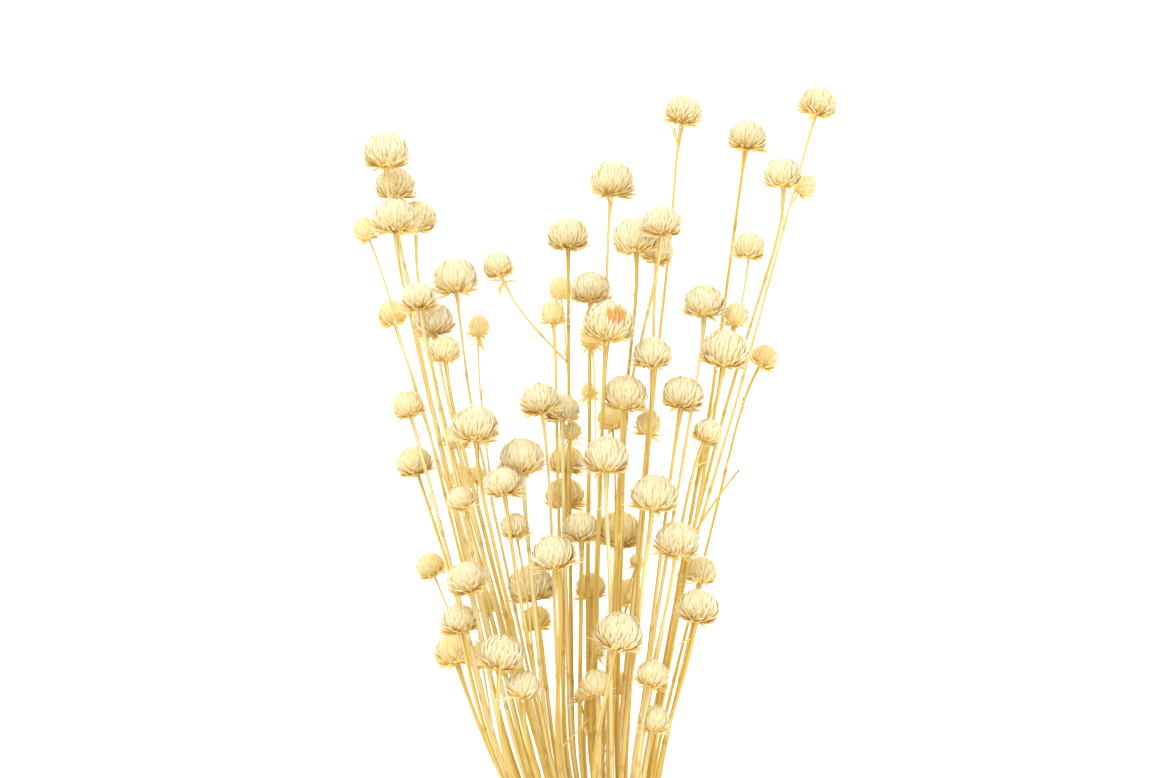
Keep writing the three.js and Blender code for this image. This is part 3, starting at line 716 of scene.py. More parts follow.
    @staticmethod
    def rolled(spines: np.ndarray, across: np.ndarray, roll: np.ndarray) -> np.ndarray:
        """Returns across * cos(roll) + outward * sin(roll), which turns each blade about its spine."""
        outward = unit(np.cross(np.gradient(spines, axis=1), across))
        return across * np.cos(roll)[:, None, None] + outward * np.sin(roll)[:, None, None]

    def paleness_and_low_shade(self) -> float:
        """Returns how pale the head is: by its own draw, less if it lies low, which is painted shade for a
        head that lies under others, and more for a bud.
        """
        own = self.draw.uniform(-0.13, 0.13) + (0.16 if self.head.kind is HeadKind.BUD else 0)
        return 0.3 + 0.42 * min(max((self.head.centre[2] - 16) / 34, 0), 1) + own

    def hanging(self, fabric: Fabric, size: tuple[float, float], tilts: np.ndarray) -> None:
        """Adds dry leaves to the underside, each a spine of steps that turn evenly from one tilt to another.

        Args:
            fabric: the piece that is being made.
            size: their mean length and width.
            tilts: (count, 2), the angle from the way the head faces at the root and at the tip, in degrees.
        """
        draw = self.draw
        count = len(tilts)
        axis, first, second = self.frame()
        turn = draw.uniform(0, 6.28) + np.arange(count) * (2 * math.pi / count) + draw.normal(0, 0.35, count)
        radial = np.cos(turn)[:, None] * first + np.sin(turn)[:, None] * second
        around = -np.sin(turn)[:, None] * first + np.cos(turn)[:, None] * second
        s = np.array(self.rows)
        lengths = size[0] * draw.uniform(0.7, 1.3, count)
        tilt = np.radians(tilts[:, :1] + (tilts[:, 1:] - tilts[:, :1]) * s[None, :-1])
        steps = np.cos(tilt)[..., None] * axis + np.sin(tilt)[..., None] * radial[:, None]
        steps = steps * (np.diff(s)[None] * lengths[:, None])[..., None]
        head = self.head
        root = head.centre - axis * head.half * 0.93 + radial * head.reach * 0.12
        spines = np.concatenate([root[:, None], root[:, None] + np.cumsum(steps, axis=1)], axis=1)
        level = np.broadcast_to(around[:, None], spines.shape)
        across = self.rolled(spines, level, draw.normal(0, 0.5, count))
        outline = (s + 0.35) ** 0.5 * (1 - s**2.2) ** 0.8
        widths = size[1] * 0.5 * draw.uniform(0.75, 1.25, count)[:, None] * outline[None]
        keels = widths * draw.uniform(0.1, 0.45, count)[:, None]
        none = np.zeros(count)
        # The leaves take their head's draw, lower for a head that lies low as painted shade, less 0.2.
        draws = np.clip(self.paleness_and_low_shade() - 0.2 + draw.normal(0, 0.2, count), 0, 1)
        Blades(spines, across, widths, keels, self.leaf_thick, draws, none, none).weave(fabric)

    def leaves(self, fabric: Fabric) -> None:
        """Adds the fringe of small stubs round the neck and the few larger leaves that hang from it.

        Args:
            fabric: the piece that is being made.
        """
        draw = self.draw
        scale = self.head.reach / FULL_REACH
        count = self.stubs
        tilts = np.stack([draw.uniform(62, 112, count), draw.uniform(55, 145, count)], axis=1)
        self.hanging(fabric, (4.0 * scale, 2.4 * scale**0.5), tilts)
        count = 3 if self.head.kind is HeadKind.FULL else 2
        tilts = np.stack([draw.uniform(70, 115, count), draw.uniform(95, 175, count)], axis=1)
        self.hanging(fabric, (6.2 * scale**0.6, 4.4 * scale**0.5), tilts)

    def core(self, fabric: Fabric) -> None:
        """Adds the closed globe that the bracts stand out of, and which shows golden between them: partly
        the bracts' own root colour, partly painted shade in the hollows.

        Args:
            fabric: the piece that is being made.
        """
        stops, steps = 9, 18
        polar = np.radians(np.linspace(16, 172, stops))
        turn = np.linspace(0, 2 * math.pi, steps, endpoint=False)
        grid_polar, grid_turn = np.meshgrid(polar, turn, indexing="ij")
        points, _ = self.on_globe(grid_polar, grid_turn, np.full(grid_polar.shape, self.core_share))
        poles, _ = self.on_globe(np.array([0.0, math.pi]), np.zeros(2), np.full(2, self.core_share * 0.96))
        points = np.concatenate([points.reshape(-1, 3), poles])
        tones = np.tile(self.core_tone, (len(points), 1))
        grains = np.concatenate([grid_turn.ravel(), [0.0, 0.0]])[:, None] * np.array([self.head.reach, 0, 0])
        fabric.add(points, tones, grains, closed_tube(stops, steps), Finish.BRACT.value)

    def weave(self, fabric: Fabric) -> None:
        """Adds the whole head.

        Args:
            fabric: the piece that is being made.
        """
        self.core(fabric)
        self.leaves(fabric)
        self.bracts(fabric)


def closed_tube(rings: int, steps: int) -> list[np.ndarray]:
    """Finds the outward faces of a tube of rings, closed by two end points that come after its rings.

    Args:
        rings: how many rings it has.
        steps: how many points each ring has.

    Returns:
        The rows of four points of its side, and the rows of three of its ends.
    """
    ring = np.arange(steps)
    after = (ring + 1) % steps
    starts = steps * np.arange(rings - 1)[:, None]
    quads = np.stack([starts + ring, starts + after, starts + steps + after, starts + steps + ring], axis=-1)
    first = np.full(steps, rings * steps)
    last = steps * (rings - 1)
    caps = np.concatenate([
        np.stack([first, after, ring], axis=-1),
        np.stack([first + 1, last + ring, last + after], axis=-1),
    ])
    return [quads.reshape(-1, 4), caps]


def rings_on(
    path: np.ndarray, tangent: np.ndarray, helper: np.ndarray, rims: np.ndarray, turns: np.ndarray
) -> np.ndarray:
    """Sets a ring square to each point of a path: point = path + rim * (cos(turn) * side + sin(turn) * up).

    Args:
        path: (rings, 3), the middle of each ring.
        tangent: the unit tangent there.
        helper: a vector that side is square to, and that the path never runs along.
        rims: (rings, steps), the distance from the middle at each turn.
        turns: (rings, steps) or (1, steps), the angles of the ring's points.

    Returns:
        The points, ring after ring.
    """
    side = unit(np.cross(tangent, helper))
    up = np.cross(tangent, side)
    level = np.cos(turns)[..., None] * side[:, None]
    upright = np.sin(turns)[..., None] * up[:, None]
    return (path[:, None] + rims[..., None] * (level + upright)).reshape(-1, 3)


def swept(path: np.ndarray, rims: np.ndarray, turns: np.ndarray) -> np.ndarray:
    """Sets rings on a path, as rings_on does, and adds the path's two ends, which close the tube.

    Args:
        path: (rings, 3), the middle of each ring.
        rims: (rings, steps), the distance from the middle at each turn.
        turns: (rings, steps) or (1, steps), the angles of the ring's points.

    Returns:
        The points, ring after ring, and then the two ends.
    """
    tangent = unit(np.gradient(path, axis=0))
    points = rings_on(path, tangent, np.array([0.0, 0.0, 1.0]) + 1e-4, rims, turns)
    return np.concatenate([points, path[:1], path[-1:]])


@dataclass(frozen=True)
class Scrap:
    """A dry leaf, twig or tendril at a height on a stem.

    turn is the way it points, in degrees: 0 to the right, 90 up from the surface, 180 to the left. It leaves
    the stem at the first tilt and ends at the second.
    """

    along: float
    turn: float
    length: float
    width: float
    tilts: tuple[float, float]
    is_twig: bool = False
    shoot: int = 0


# Dry leaves and twigs that the photo shows, by the number of the flower stem
SCRAPS: dict[int, tuple[Scrap, ...]] = {
    5: (Scrap(372, 20, 8, 1.9, (50, 20)), Scrap(350, 185, 7, 2.0, (75, 105), shoot=1),
        Scrap(351, 350, 9, 2.0, (120, 168), shoot=1)),
    6: (Scrap(383, 230, 11, 5.2, (105, 160), shoot=1), Scrap(384, 185, 9, 3.0, (60, 80), shoot=1),
        Scrap(383, 330, 9, 4.4, (95, 150), shoot=1)),
    12: (Scrap(452, 178, 22, 3.4, (10, 58)), Scrap(453, 168, 13, 3.0, (12, 26))),
    15: (Scrap(248, 0, 45, 1.7, (16, 26), True),),
    18: (Scrap(372, 170, 9, 1.8, (12, 24)), Scrap(340, 0, 7, 1.5, (15, 30))),
    22: (Scrap(300, 0, 8, 1.6, (30, 60)),),
    26: (Scrap(262, 10, 12, 1.5, (20, 4)), Scrap(250, 185, 8, 1.5, (30, 60))),
    30: (Scrap(252, 180, 7, 1.4, (40, 80)),),
    34: (Scrap(138, 0, 28, 1.0, (50, 38), True),),
    39: (Scrap(335, 0, 17, 0.75, (75, -80), True), Scrap(334, 40, 12, 0.7, (95, 10), True),
         Scrap(338, 165, 9, 1.7, (70, 110))),
    40: (Scrap(312, 10, 11, 1.7, (6, 22)), Scrap(318, 190, 9, 1.5, (8, 28))),
    43: (Scrap(288, 175, 13, 1.9, (58, 70)), Scrap(293, 170, 10, 1.7, (46, 36)),
         Scrap(286, 20, 8, 1.6, (30, 70))),
    49: (Scrap(118, 190, 9, 1.4, (24, 50)),),
    55: (Scrap(197, 180, 12, 0.9, (118, 150), True),),
    57: (Scrap(118, 60, 21, 0.9, (-28, -12), True),),
}


@dataclass
class StemSkin:
    """The outside of a stem or shoot: ribs, knots with dry leaf ends, a flared neck and a cut end."""

    strand: Strand
    tie_at: float
    draw: np.random.Generator
    step: float = 5.0
    sides: int = 12
    ribs: int = 5
    rib_depth: float = 0.1
    knot_swell: float = 0.17
    knot_length: float = 2.0
    taper: float = 0.4
    neck_flare: float = 0.84
    shoot_flare: float = 1.1
    shoot_slimness: float = 0.85
    neck_share: float = 5.5
    smoothing: int = 16
    funnel_length: float = 22.0
    leafy_knots: float = 0.42

    # Where the stem is sampled besides its even steps: past a knot, and back from the end of its neck
    AT_KNOT = np.array([-4.0, -2.4, -1.2, 0, 1.2, 2.4, 4.0])
    IN_NECK = np.array([36.0, 28, 22, 18, 15, 12, 9.5, 7.5, 6, 4.5, 3, 1.5])

    def knots(self, at: np.ndarray) -> np.ndarray:
        """Places the knots: evenly on a shoot, and 52 to 84 mm apart from above the tie up on a stem.

        Args:
            at: the distance along the strand of each of its points.

        Returns:
            The knots' distances along the strand.
        """
        if self.strand.is_shoot:
            return np.arange(22.0, at[-1] - 18, 40.0)
        height = self.strand.points[:, 1]
        first = self.tie_at + self.draw.uniform(28, 70)
        heights = first + np.concatenate([[0], self.draw.uniform(52, 84, 9).cumsum()])
        return np.interp(heights[heights < height[-1] - 34], height, at)

    def course(self) -> tuple[np.ndarray, np.ndarray, np.ndarray, np.ndarray]:
        """Works out the stem's middle line, sampled more closely at its knots and in its neck.

        Each round of smoothing makes a point half of itself and a quarter of each neighbour.

        Returns:
            The distance along the line, its points, its radius before ribs, and the distances of its knots.
        """
        strand = self.strand
        steps = np.linalg.norm(np.diff(strand.points, axis=0), axis=1)
        at = np.concatenate([[0], np.cumsum(steps)])
        knots = self.knots(at)
        close = (knots[:, None] + self.AT_KNOT).ravel()
        neck = at[-1] - self.IN_NECK
        even = np.linspace(0, at[-1], max(int(at[-1] / self.step), 8))
        path = np.stack([np.interp(even, at, strand.points[:, k]) for k in range(3)], axis=1)
        for _ in range(self.smoothing):
            path[1:-1] = 0.25 * path[:-2] + 0.5 * path[1:-1] + 0.25 * path[2:]
        s = np.unique(np.round(np.clip(np.concatenate([even, close, neck[neck > 0]]), 0, at[-1]), 2))
        s = s[np.concatenate([[True], np.diff(s) > 0.6])]
        path = np.stack([np.interp(s, even, path[:, k]) for k in range(3)], axis=1)
        return s, path, self.radii(s, path, at[-1]), knots

    def radii(self, s: np.ndarray, path: np.ndarray, length: float) -> np.ndarray:
        """Works out the radius before ribs, which tapers up a stem and flares in the neck.

        With beyond as the distance to the head, it is radius + (wide - radius) * exp(-beyond / neck).

        Args:
            s: the distance along the strand of each point of its middle.
            path: those points.
            length: the strand's whole length.

        Returns:
            The radius at each point.
        """
        strand = self.strand
        radius = np.full(len(s), strand.radii[0])
        if strand.is_shoot:
            radius = radius * self.shoot_slimness
        else:
            share = np.clip((path[:, 1] - self.tie_at) / STEM_REACH, 0, 1)
            radius = radius * (1.0 - self.taper * share**1.4)
        flare = self.shoot_flare if strand.is_shoot else self.neck_flare
        wide = strand.radii[-1] * flare * min(strand.head.reach / FULL_REACH, 1.0) ** 0.5
        beyond = np.maximum(length - strand.head.half * 0.3 - s, 0)
        return radius + (max(wide, radius[-1]) - radius) * np.exp(-beyond / (wide * self.neck_share))

    def weave(self, fabric: Fabric) -> None:
        """Adds the skin.

        Its rim is radius * (1 + rib * cos(ribs * turn) + flat * cos(2 * turn)) * (1 + swell at a knot), and
        the swell is knot_swell * exp(-(distance / knot_length)**2). The ribs grow deeper in the funnel,
        which is the widening under the head. The smoothed middle line takes the place of the strand's
        points, so that leaves stand on it.

        Args:
            fabric: the piece that is being made.
        """
        draw = self.draw
        slimness = draw.uniform(0.76, 1.0)
        s, path, radius, knots = self.course()
        self.strand.points = path
        turn = np.linspace(0, 2 * math.pi, self.sides, endpoint=False)[None]
        near = np.exp(-(((s[:, None] - knots[None]) / self.knot_length) ** 2)).sum(axis=1)
        phase = draw.uniform(0, 6.28) + s * draw.normal(0, 0.004)
        funnel = np.clip(1 - (s[-1] - s) / self.funnel_length, 0, 1)[:, None]
        rib = np.cos(self.ribs * turn + phase[:, None])
        ribs = 1 + self.rib_depth * (1 + 1.6 * funnel) * rib
        ribs = ribs + (0.05 + 0.09 * funnel) * np.cos(2 * turn + phase[:, None] * 0.5)
        wander = 1 + 0.05 * np.sin(s * 0.11 + phase[0] * 3) + 0.03 * np.sin(s * 0.37 + phase[0])
        rims = (radius * wander * (1 + self.knot_swell * near))[:, None] * ribs * slimness
        points = swept(path, rims, turn)
        count = len(points)
        # Painted shade: groove darkens the rib grooves of the neck and lines darkens lines down one side of
        # the stem; both go into the knot colour together with the real browning at the knots.
        groove = np.clip(-0.2 - np.cos(3 * turn + phase[:, None] * 3), 0, 0.8) / 0.8
        lines = 0.8 * np.clip(np.cos(3 * turn + phase[:, None] * 2) - 0.15, 0, 1)
        knot_brown_and_painted_shade = np.maximum(np.maximum(near[:, None] * 0.7, lines), funnel**0.6 * groove).clip(0, 1).ravel()
        share = np.repeat(np.clip((path[:, 1] - self.tie_at) / STEM_REACH, -0.3, 1), self.sides)
        tones = np.zeros((count, 4))
        tones[:, 0] = np.concatenate([share, share[:1], share[-1:]])
        tones[:, 1] = draw.random()
        tones[:, 2] = np.concatenate([knot_brown_and_painted_shade, knot_brown_and_painted_shade[:1], knot_brown_and_painted_shade[-1:]])
        if not self.strand.is_shoot:
            tones[-2, 3] = 1.0
        grains = np.zeros((count, 3))
        grains[:-2, 0] = (np.cos(turn) * radius[:, None]).ravel()
        grains[:-2, 2] = (np.sin(turn) * radius[:, None]).ravel()
        grains[:-2, 1] = np.repeat(s, self.sides)
        grains[-1, 1] = s[-1]
        grains[:, 1] += draw.random() * 900
        fabric.add(points, tones, grains, closed_tube(len(s), self.sides), Finish.STEM.value)
        self.knot_leaves(fabric, s, path, knots)

    def knot_leaves(self, fabric: Fabric, s: np.ndarray, path: np.ndarray, knots: np.ndarray) -> None:
        """Adds short shrivelled leaf ends that lie close along the stem above some of its knots.

        Args:
            fabric: the piece that is being made.
            s: the distance along the stem of each point of its middle.
            path: those points.
            knots: the distances of the knots.
        """
        draw = self.draw
        for knot in knots:
            if draw.random() > self.leafy_knots:
                continue
            at = np.array([np.interp(knot, s, path[:, k]) for k in range(3)])
            way = np.array([np.interp(knot + 6, s, path[:, k]) for k in range(3)]) - at
            count = int(draw.integers(1, 3))
            turn = np.degrees(draw.uniform(0, 6.28)) + 180 * np.arange(count)
            for one in turn:
                tilts = (draw.uniform(4, 20), draw.uniform(-6, 30))
                size = draw.uniform(4.5, 9.5)
                leaf_on(fabric, at, unit(way), Scrap(0, one, size, draw.uniform(0.9, 1.5), tilts), draw)


def leaf_on(
    fabric: Fabric, at: np.ndarray, way: np.ndarray, scrap: Scrap, draw: np.random.Generator
) -> None:
    """Adds a dry leaf or twig to a stem. Its spine is a sum of steps that turn evenly from tilt to tilt.

    Args:
        fabric: the piece that is being made.
        at: the point of the stem's middle where it grows.
        way: the stem's unit direction there.
        scrap: its size and the way it points.
        draw: the source of its small differences.
    """
    right = unit(np.array([1.0, 0, 0]) - way * way[0])
    over = np.cross(right, way)
    turn = math.radians(scrap.turn)
    out = math.cos(turn) * right + math.sin(turn) * over
    rows = 9 if scrap.is_twig else 8
    s = np.linspace(0, 1, rows)
    tilt = np.radians(scrap.tilts[0] + (scrap.tilts[1] - scrap.tilts[0]) * s)
    steps = (np.cos(tilt)[:, None] * way + np.sin(tilt)[:, None] * out) * scrap.length / (rows - 1)
    spine = at + np.concatenate([np.zeros((1, 3)), np.cumsum(steps[:-1], axis=0)])
    if scrap.is_twig:
        sides = 7
        turns = np.linspace(0, 2 * math.pi, sides, endpoint=False)[None]
        rims = scrap.width * 0.5 * (1 - 0.45 * s)[:, None] * (1 + 0.08 * np.cos(3 * turns))
        points = swept(spine, rims, turns)
        tones = np.zeros((len(points), 4))
        tones[:, 0] = 0.7
        tones[:, 1] = draw.random()
        broken_end = np.r_[-2 * sides - 1 : -2, -1]
        tones[broken_end, 2] = 0.9
        fabric.add(points, tones, points, closed_tube(rows, sides), Finish.STEM.value)
        return
    across = np.broadcast_to(np.cross(way, out), (rows, 3))
    outline = (s + 0.25) ** 0.5 * (1 - s**2.4) ** 0.7
    widths = scrap.width * 0.5 * outline * (1 + 0.15 * np.sin(s * 9 + draw.uniform(0, 6)))
    blade = Blades(
        spine[None], across[None].copy(), widths[None], -widths[None] * draw.uniform(0.5, 0.9), 0.18,
        np.array([draw.random()]), np.array([0.06]), np.zeros(1))
    blade.weave(fabric)


@dataclass
class TwineTie:
    """The tie: turns of two-ply twine round the stems, side by side, with a knot and two frayed tails.

    The twine's turns are laid round the stems as though they pressed the stems to a share of their radius.
    """

    middle: np.ndarray
    stems: np.ndarray
    turns: int = 4
    twine: float = 2.8
    stem_reach: float = 1.36
    pressed: float = 0.94
    clearance: float = 0.3
    lay: float = 5.2
    tail: float = 9.5
    knot_radius: float = 1.02
    frays: int = 9

    def outline(self, out: float, count: int) -> np.ndarray:
        """Finds the tight loop at a distance round all the stems.

        Args:
            out: the distance from the stems' middles.
            count: how many points the loop gets.

        Returns:
            (count, 2) points in X and Z, evenly spaced, on the hull of circles of that radius.
        """
        turn = np.linspace(0, 2 * math.pi, 28, endpoint=False)
        rim = self.stems[:, None] + out * np.stack([np.cos(turn), np.sin(turn)], axis=1)[None]
        rim = rim.reshape(-1, 2)
        angles = np.linspace(0, 2 * math.pi, 720, endpoint=False)
        ways = np.stack([np.cos(angles), np.sin(angles)], axis=1)
        loop = rim[np.argmax(rim @ ways.T, axis=0)]
        loop = np.concatenate([loop, loop[:1]])
        at = np.concatenate([[0], np.linalg.norm(np.diff(loop, axis=0), axis=1).cumsum()])
        even = np.linspace(0, at[-1], count, endpoint=False)
        return np.stack([np.interp(even, at, loop[:, k]) for k in range(2)], axis=1)

    def ply(self, fabric: Fabric, path: np.ndarray, radius: np.ndarray, closed: bool, seed: float) -> None:
        """Adds twine along a path.

        Its rim is radius * (0.8 + 0.2 * |cos(turn - twist)|**0.6), and twist grows by a turn in each lay.

        Args:
            fabric: the piece that is being made.
            path: the twine's middle.
            radius: its radius at each point.
            closed: whether the path runs back into its start.
            seed: a shift of the fibre pattern.
        """
        steps = 14
        turn = np.linspace(0, 2 * math.pi, steps, endpoint=False)[None]
        beyond = path[:1] if closed else path[-1:] * 2 - path[-2:-1]
        ahead = np.concatenate([path[1:], beyond])
        s = np.concatenate([[0], np.linalg.norm(ahead - path, axis=1).cumsum()[:-1]])
        total = s[-1] + np.linalg.norm(ahead[-1] - path[-1])
        lays = max(round(total / self.lay), 1) if closed else total / self.lay
        twist = s / total * lays * 2 * math.pi
        groove = np.abs(np.cos(turn - twist[:, None]))
        rims = radius[:, None] * (0.8 + 0.2 * groove**0.6)
        tangent = unit(ahead - np.roll(path, 1, axis=0)) if closed else unit(np.gradient(path, axis=0))
        points = rings_on(path, tangent, np.array([0.0, 1.0, 0.01]), rims, turn)
        count = len(path)
        if closed:
            index = np.arange(steps)
            after = (index + 1) % steps
            starts = steps * np.arange(count)[:, None]
            nexts = steps * ((np.arange(count) + 1) % count)[:, None]
            quads = np.stack([starts + index, starts + after, nexts + after, nexts + index], axis=-1)
            faces = [quads.reshape(-1, 4)]
        else:
            points = np.concatenate([points, path[:1], path[-1:]])
            faces = closed_tube(count, steps)
        tones = np.zeros((len(points), 4))
        tones[: count * steps, 0] = groove.ravel()
        tones[:, 1] = seed
        grains = np.zeros((len(points), 3))
        fibre = turn - twist[:, None]
        grains[: count * steps, 0] = (np.cos(fibre) * radius[:, None]).ravel()
        grains[: count * steps, 2] = (np.sin(fibre) * radius[:, None]).ravel()
        grains[: count * steps, 1] = np.repeat(s, steps) + seed * 90
        fabric.add(points, tones, grains, faces, 0)

    def wraps(self, fabric: Fabric, loop: np.ndarray) -> None:
        """Adds the turns round the stems, each out of line with the next by a sine wave of its own.

        Args:
            fabric: the piece that is being made.
            loop: the way round the stems, in X and Z.
        """
        count = len(loop)
        around = np.linspace(0, 2 * math.pi, count, endpoint=False)
        for k in range(self.turns):
            wave = 0.22 * np.sin(around * 2 + k * 1.7)
            y = self.middle[1] + (k - (self.turns - 1) / 2) * self.twine * 0.97 + wave
            path = np.stack([loop[:, 0], y, loop[:, 1]], axis=1)
            self.ply(fabric, path[::-1], np.full(count, self.twine / 2), True, 0.1 + 0.2 * k)

    def knot(self, fabric: Fabric, top: np.ndarray) -> None:
        """Adds the knot, a flattened trefoil: sin t + 2 sin 2t, cos t - 2 cos 2t and -sin 3t.

        Args:
            fabric: the piece that is being made.
            top: the point on top of the turns.
        """
        t = np.linspace(0, 2 * math.pi, 120, endpoint=False)
        trefoil = [np.sin(t) + 2 * np.sin(2 * t), (np.cos(t) - 2 * np.cos(2 * t)) * 1.15, -np.sin(3 * t)]
        path = top + np.array([0, 0, 0.9]) + np.stack(trefoil, axis=1) * np.array([0.95, 0.95, 0.8])
        self.ply(fabric, path, np.full(len(t), self.knot_radius), True, 0.9)

    def tails(self, fabric: Fabric, top: np.ndarray) -> None:
        """Adds the two tails, which leave the knot to the left and right and end in loose fibres.

        Args:
            fabric: the piece that is being made.
            top: the point on top of the turns.
        """
        draw = np.random.default_rng(77)
        for way in (-1, 1):
            s = np.linspace(0, 1, 26)
            path = top + np.stack([
                way * (1.4 + (self.tail - 1.4) * s),
                -way * (0.4 + 3.2 * s) + 0.8 * np.sin(3 * s),
                0.7 + 0.9 * np.sin(2.6 * s) - 0.6 * s,
            ], axis=1)
            self.ply(fabric, path, self.knot_radius * (1 - 0.25 * s), False, 0.4 + 0.1 * way)
            for _ in range(self.frays):
                spread = draw.normal(0, 1, 3) * np.array([0.5, 1.0, 0.6])
                out = np.linspace(0, 1, 7)[:, None]
                reach = np.array([way * 2.8, -way * 1.0, -0.3]) + spread
                fray = path[-2] + out * reach + out**2 * spread * 0.7
                self.ply(fabric, fray, np.linspace(0.22, 0.09, len(out)), False, draw.random())

    def make(self, finish: bpy.types.Material) -> bpy.types.Object:
        """Makes the tie's piece.

        Args:
            finish: the twine's material.

        Returns:
            The piece's object.
        """
        fabric = Fabric()
        radius = self.twine / 2
        loop = self.outline(self.stem_reach * self.pressed + self.clearance + radius, 190)
        top = np.array([self.middle[0], self.middle[1], loop[:, 1].max() + radius])
        self.wraps(fabric, loop)
        self.knot(fabric, top)
        self.tails(fabric, top)
        return fabric.piece("twine_wrap", [finish])


class Wire:
    """A socket's value, which Python's arithmetic carries on with Math nodes."""

    def __init__(self, shader: "Shader", socket: bpy.types.NodeSocket) -> None:
        """Keeps the socket and the shader that it is in."""
        self.shader = shader
        self.socket = socket

    def other(self, name: str) -> "Wire":
        """Returns another output of the same node."""
        return Wire(self.shader, self.socket.node.outputs[name])

    def joined(self, operation: str, first: "Wire | float", second: "Wire | float") -> "Wire":
        """Returns what a Math node makes of two values."""
        return self.shader.node("ShaderNodeMath", {"operation": operation}, {0: first, 1: second})

    def __add__(self, value: "Wire | float") -> "Wire":
        """Returns the sum."""
        return self.joined("ADD", self, value)

    def __radd__(self, value: float) -> "Wire":
        """Returns the sum."""
        return self.joined("ADD", value, self)

    def __rsub__(self, value: float) -> "Wire":
        """Returns the difference from a number."""
        return self.joined("SUBTRACT", value, self)

    def __mul__(self, value: "Wire | float") -> "Wire":
        """Returns the product."""
        return self.joined("MULTIPLY", self, value)

    def __rmul__(self, value: float) -> "Wire":
        """Returns the product."""
        return self.joined("MULTIPLY", value, self)

    def rising(self, low: float, high: float) -> "Wire":
        """Returns a smooth rise from 0 to 1 while the value goes from low to high."""
        settings = {"interpolation_type": "SMOOTHSTEP"}
        return self.shader.node("ShaderNodeMapRange", settings, {0: self, 1: low, 2: high, 3: 0.0, 4: 1.0})


def pale(red: float, green: float, blue: float) -> tuple[float, float, float, float]:
    """Turns screen values into the linear light that shaders use, by the curve of the sRGB standard.

    Args:
        red: the red part, from 0 to 255.
        green: the green part.
        blue: the blue part.

    Returns:
        The colour's four parts, from 0 to 1, with no transparency.
    """
    parts = np.array([red, green, blue]) / 255
    linear = np.where(parts <= 0.04045, parts / 12.92, ((parts + 0.055) / 1.055) ** 2.4)
    return (*(float(part) for part in linear), 1.0)


class Shader:
    """A material whose nodes come from expressions."""

    def __init__(self, name: str) -> None:
        """Starts a material with no nodes.

        Args:
            name: the material's name.
        """
        self.material = bpy.data.materials.new(name)
        self.material.use_nodes = True
        self.tree = self.material.node_tree
        self.tree.nodes.clear()

    def node(
        self, kind: str, settings: dict | None = None, sockets: dict | None = None, output: int | str = 0
    ) -> Wire:
        """Adds a node.

        Args:
            kind: the node's type.
            settings: what is set on it first, such as a Math node's operation or a ramp's stops.
            sockets: the value or link of each of its inputs.
            output: which output is meant.

        Returns:
            That output.
        """
        made = self.tree.nodes.new(kind)
        for name, value in (settings or {}).items():
            setattr(made, name, value)
        for key, value in (sockets or {}).items():
            if isinstance(value, Wire):
                self.tree.links.new(value.socket, made.inputs[key])
            else:
                made.inputs[key].default_value = value
        return Wire(self, made.outputs[output])

    def blend(self, low: Wire | tuple, high: Wire | tuple, share: Wire | float) -> Wire:
        """Returns the colour that lies between two by a share."""
        return self.node("ShaderNodeMix", {"data_type": "RGBA"}, {0: share, 6: low, 7: high}, 2)

    def grain(self, stretch: tuple[float, float, float]) -> Wire:
        """Returns the place along and across the grain, stretched by a factor each way."""
        place = self.node("ShaderNodeAttribute", {"attribute_name": "grain"}, {}, "Vector")
        return self.node("ShaderNodeVectorMath", {"operation": "MULTIPLY"}, {0: place, 1: stretch})

    def noise(self, place: Wire, detail: float) -> Wire:
        """Returns a noise's value at a place, with patches about one unit wide."""
        sockets = {"Vector": place, "Scale": 1.0, "Detail": detail, "Roughness": 0.55}
        return self.node("ShaderNodeTexNoise", {}, sockets)

    def tone(self) -> tuple[Wire, Wire, Wire, Wire]:
        """Reads the tone that each point holds, as Fabric explains it.

        Returns:
            Its four parts.
        """
        colour = self.node("ShaderNodeAttribute", {"attribute_name": "tone"}, {}, "Color")
        parts = self.node("ShaderNodeSeparateColor", {}, {"Color": colour}, "Red")
        return parts, parts.other("Green"), parts.other("Blue"), colour.other("Alpha")

    def finish(
        self, colour: Wire, roughness: Wire | float, relief: Wire, depth: float, fixed: dict
    ) -> bpy.types.Material:
        """Ends the material.

        Args:
            colour: the base colour.
            roughness: the roughness.
            relief: the height of the fine relief, from 0 to 1.
            depth: how high that relief is, in metres.
            fixed: the values of its other sockets.

        Returns:
            The material.
        """
        bump = self.node("ShaderNodeBump", {}, {"Strength": 1.0, "Distance": depth, "Height": relief})
        sockets = {"Base Color": colour, "Roughness": roughness, "Normal": bump, **fixed}
        surface = self.node("ShaderNodeBsdfPrincipled", {}, sockets)
        self.node_end(surface)
        return self.material

    def node_end(self, surface: Wire) -> None:
        """Links a surface to the material's output."""
        end = self.tree.nodes.new("ShaderNodeOutputMaterial")
        self.tree.links.new(surface.socket, end.inputs["Surface"])


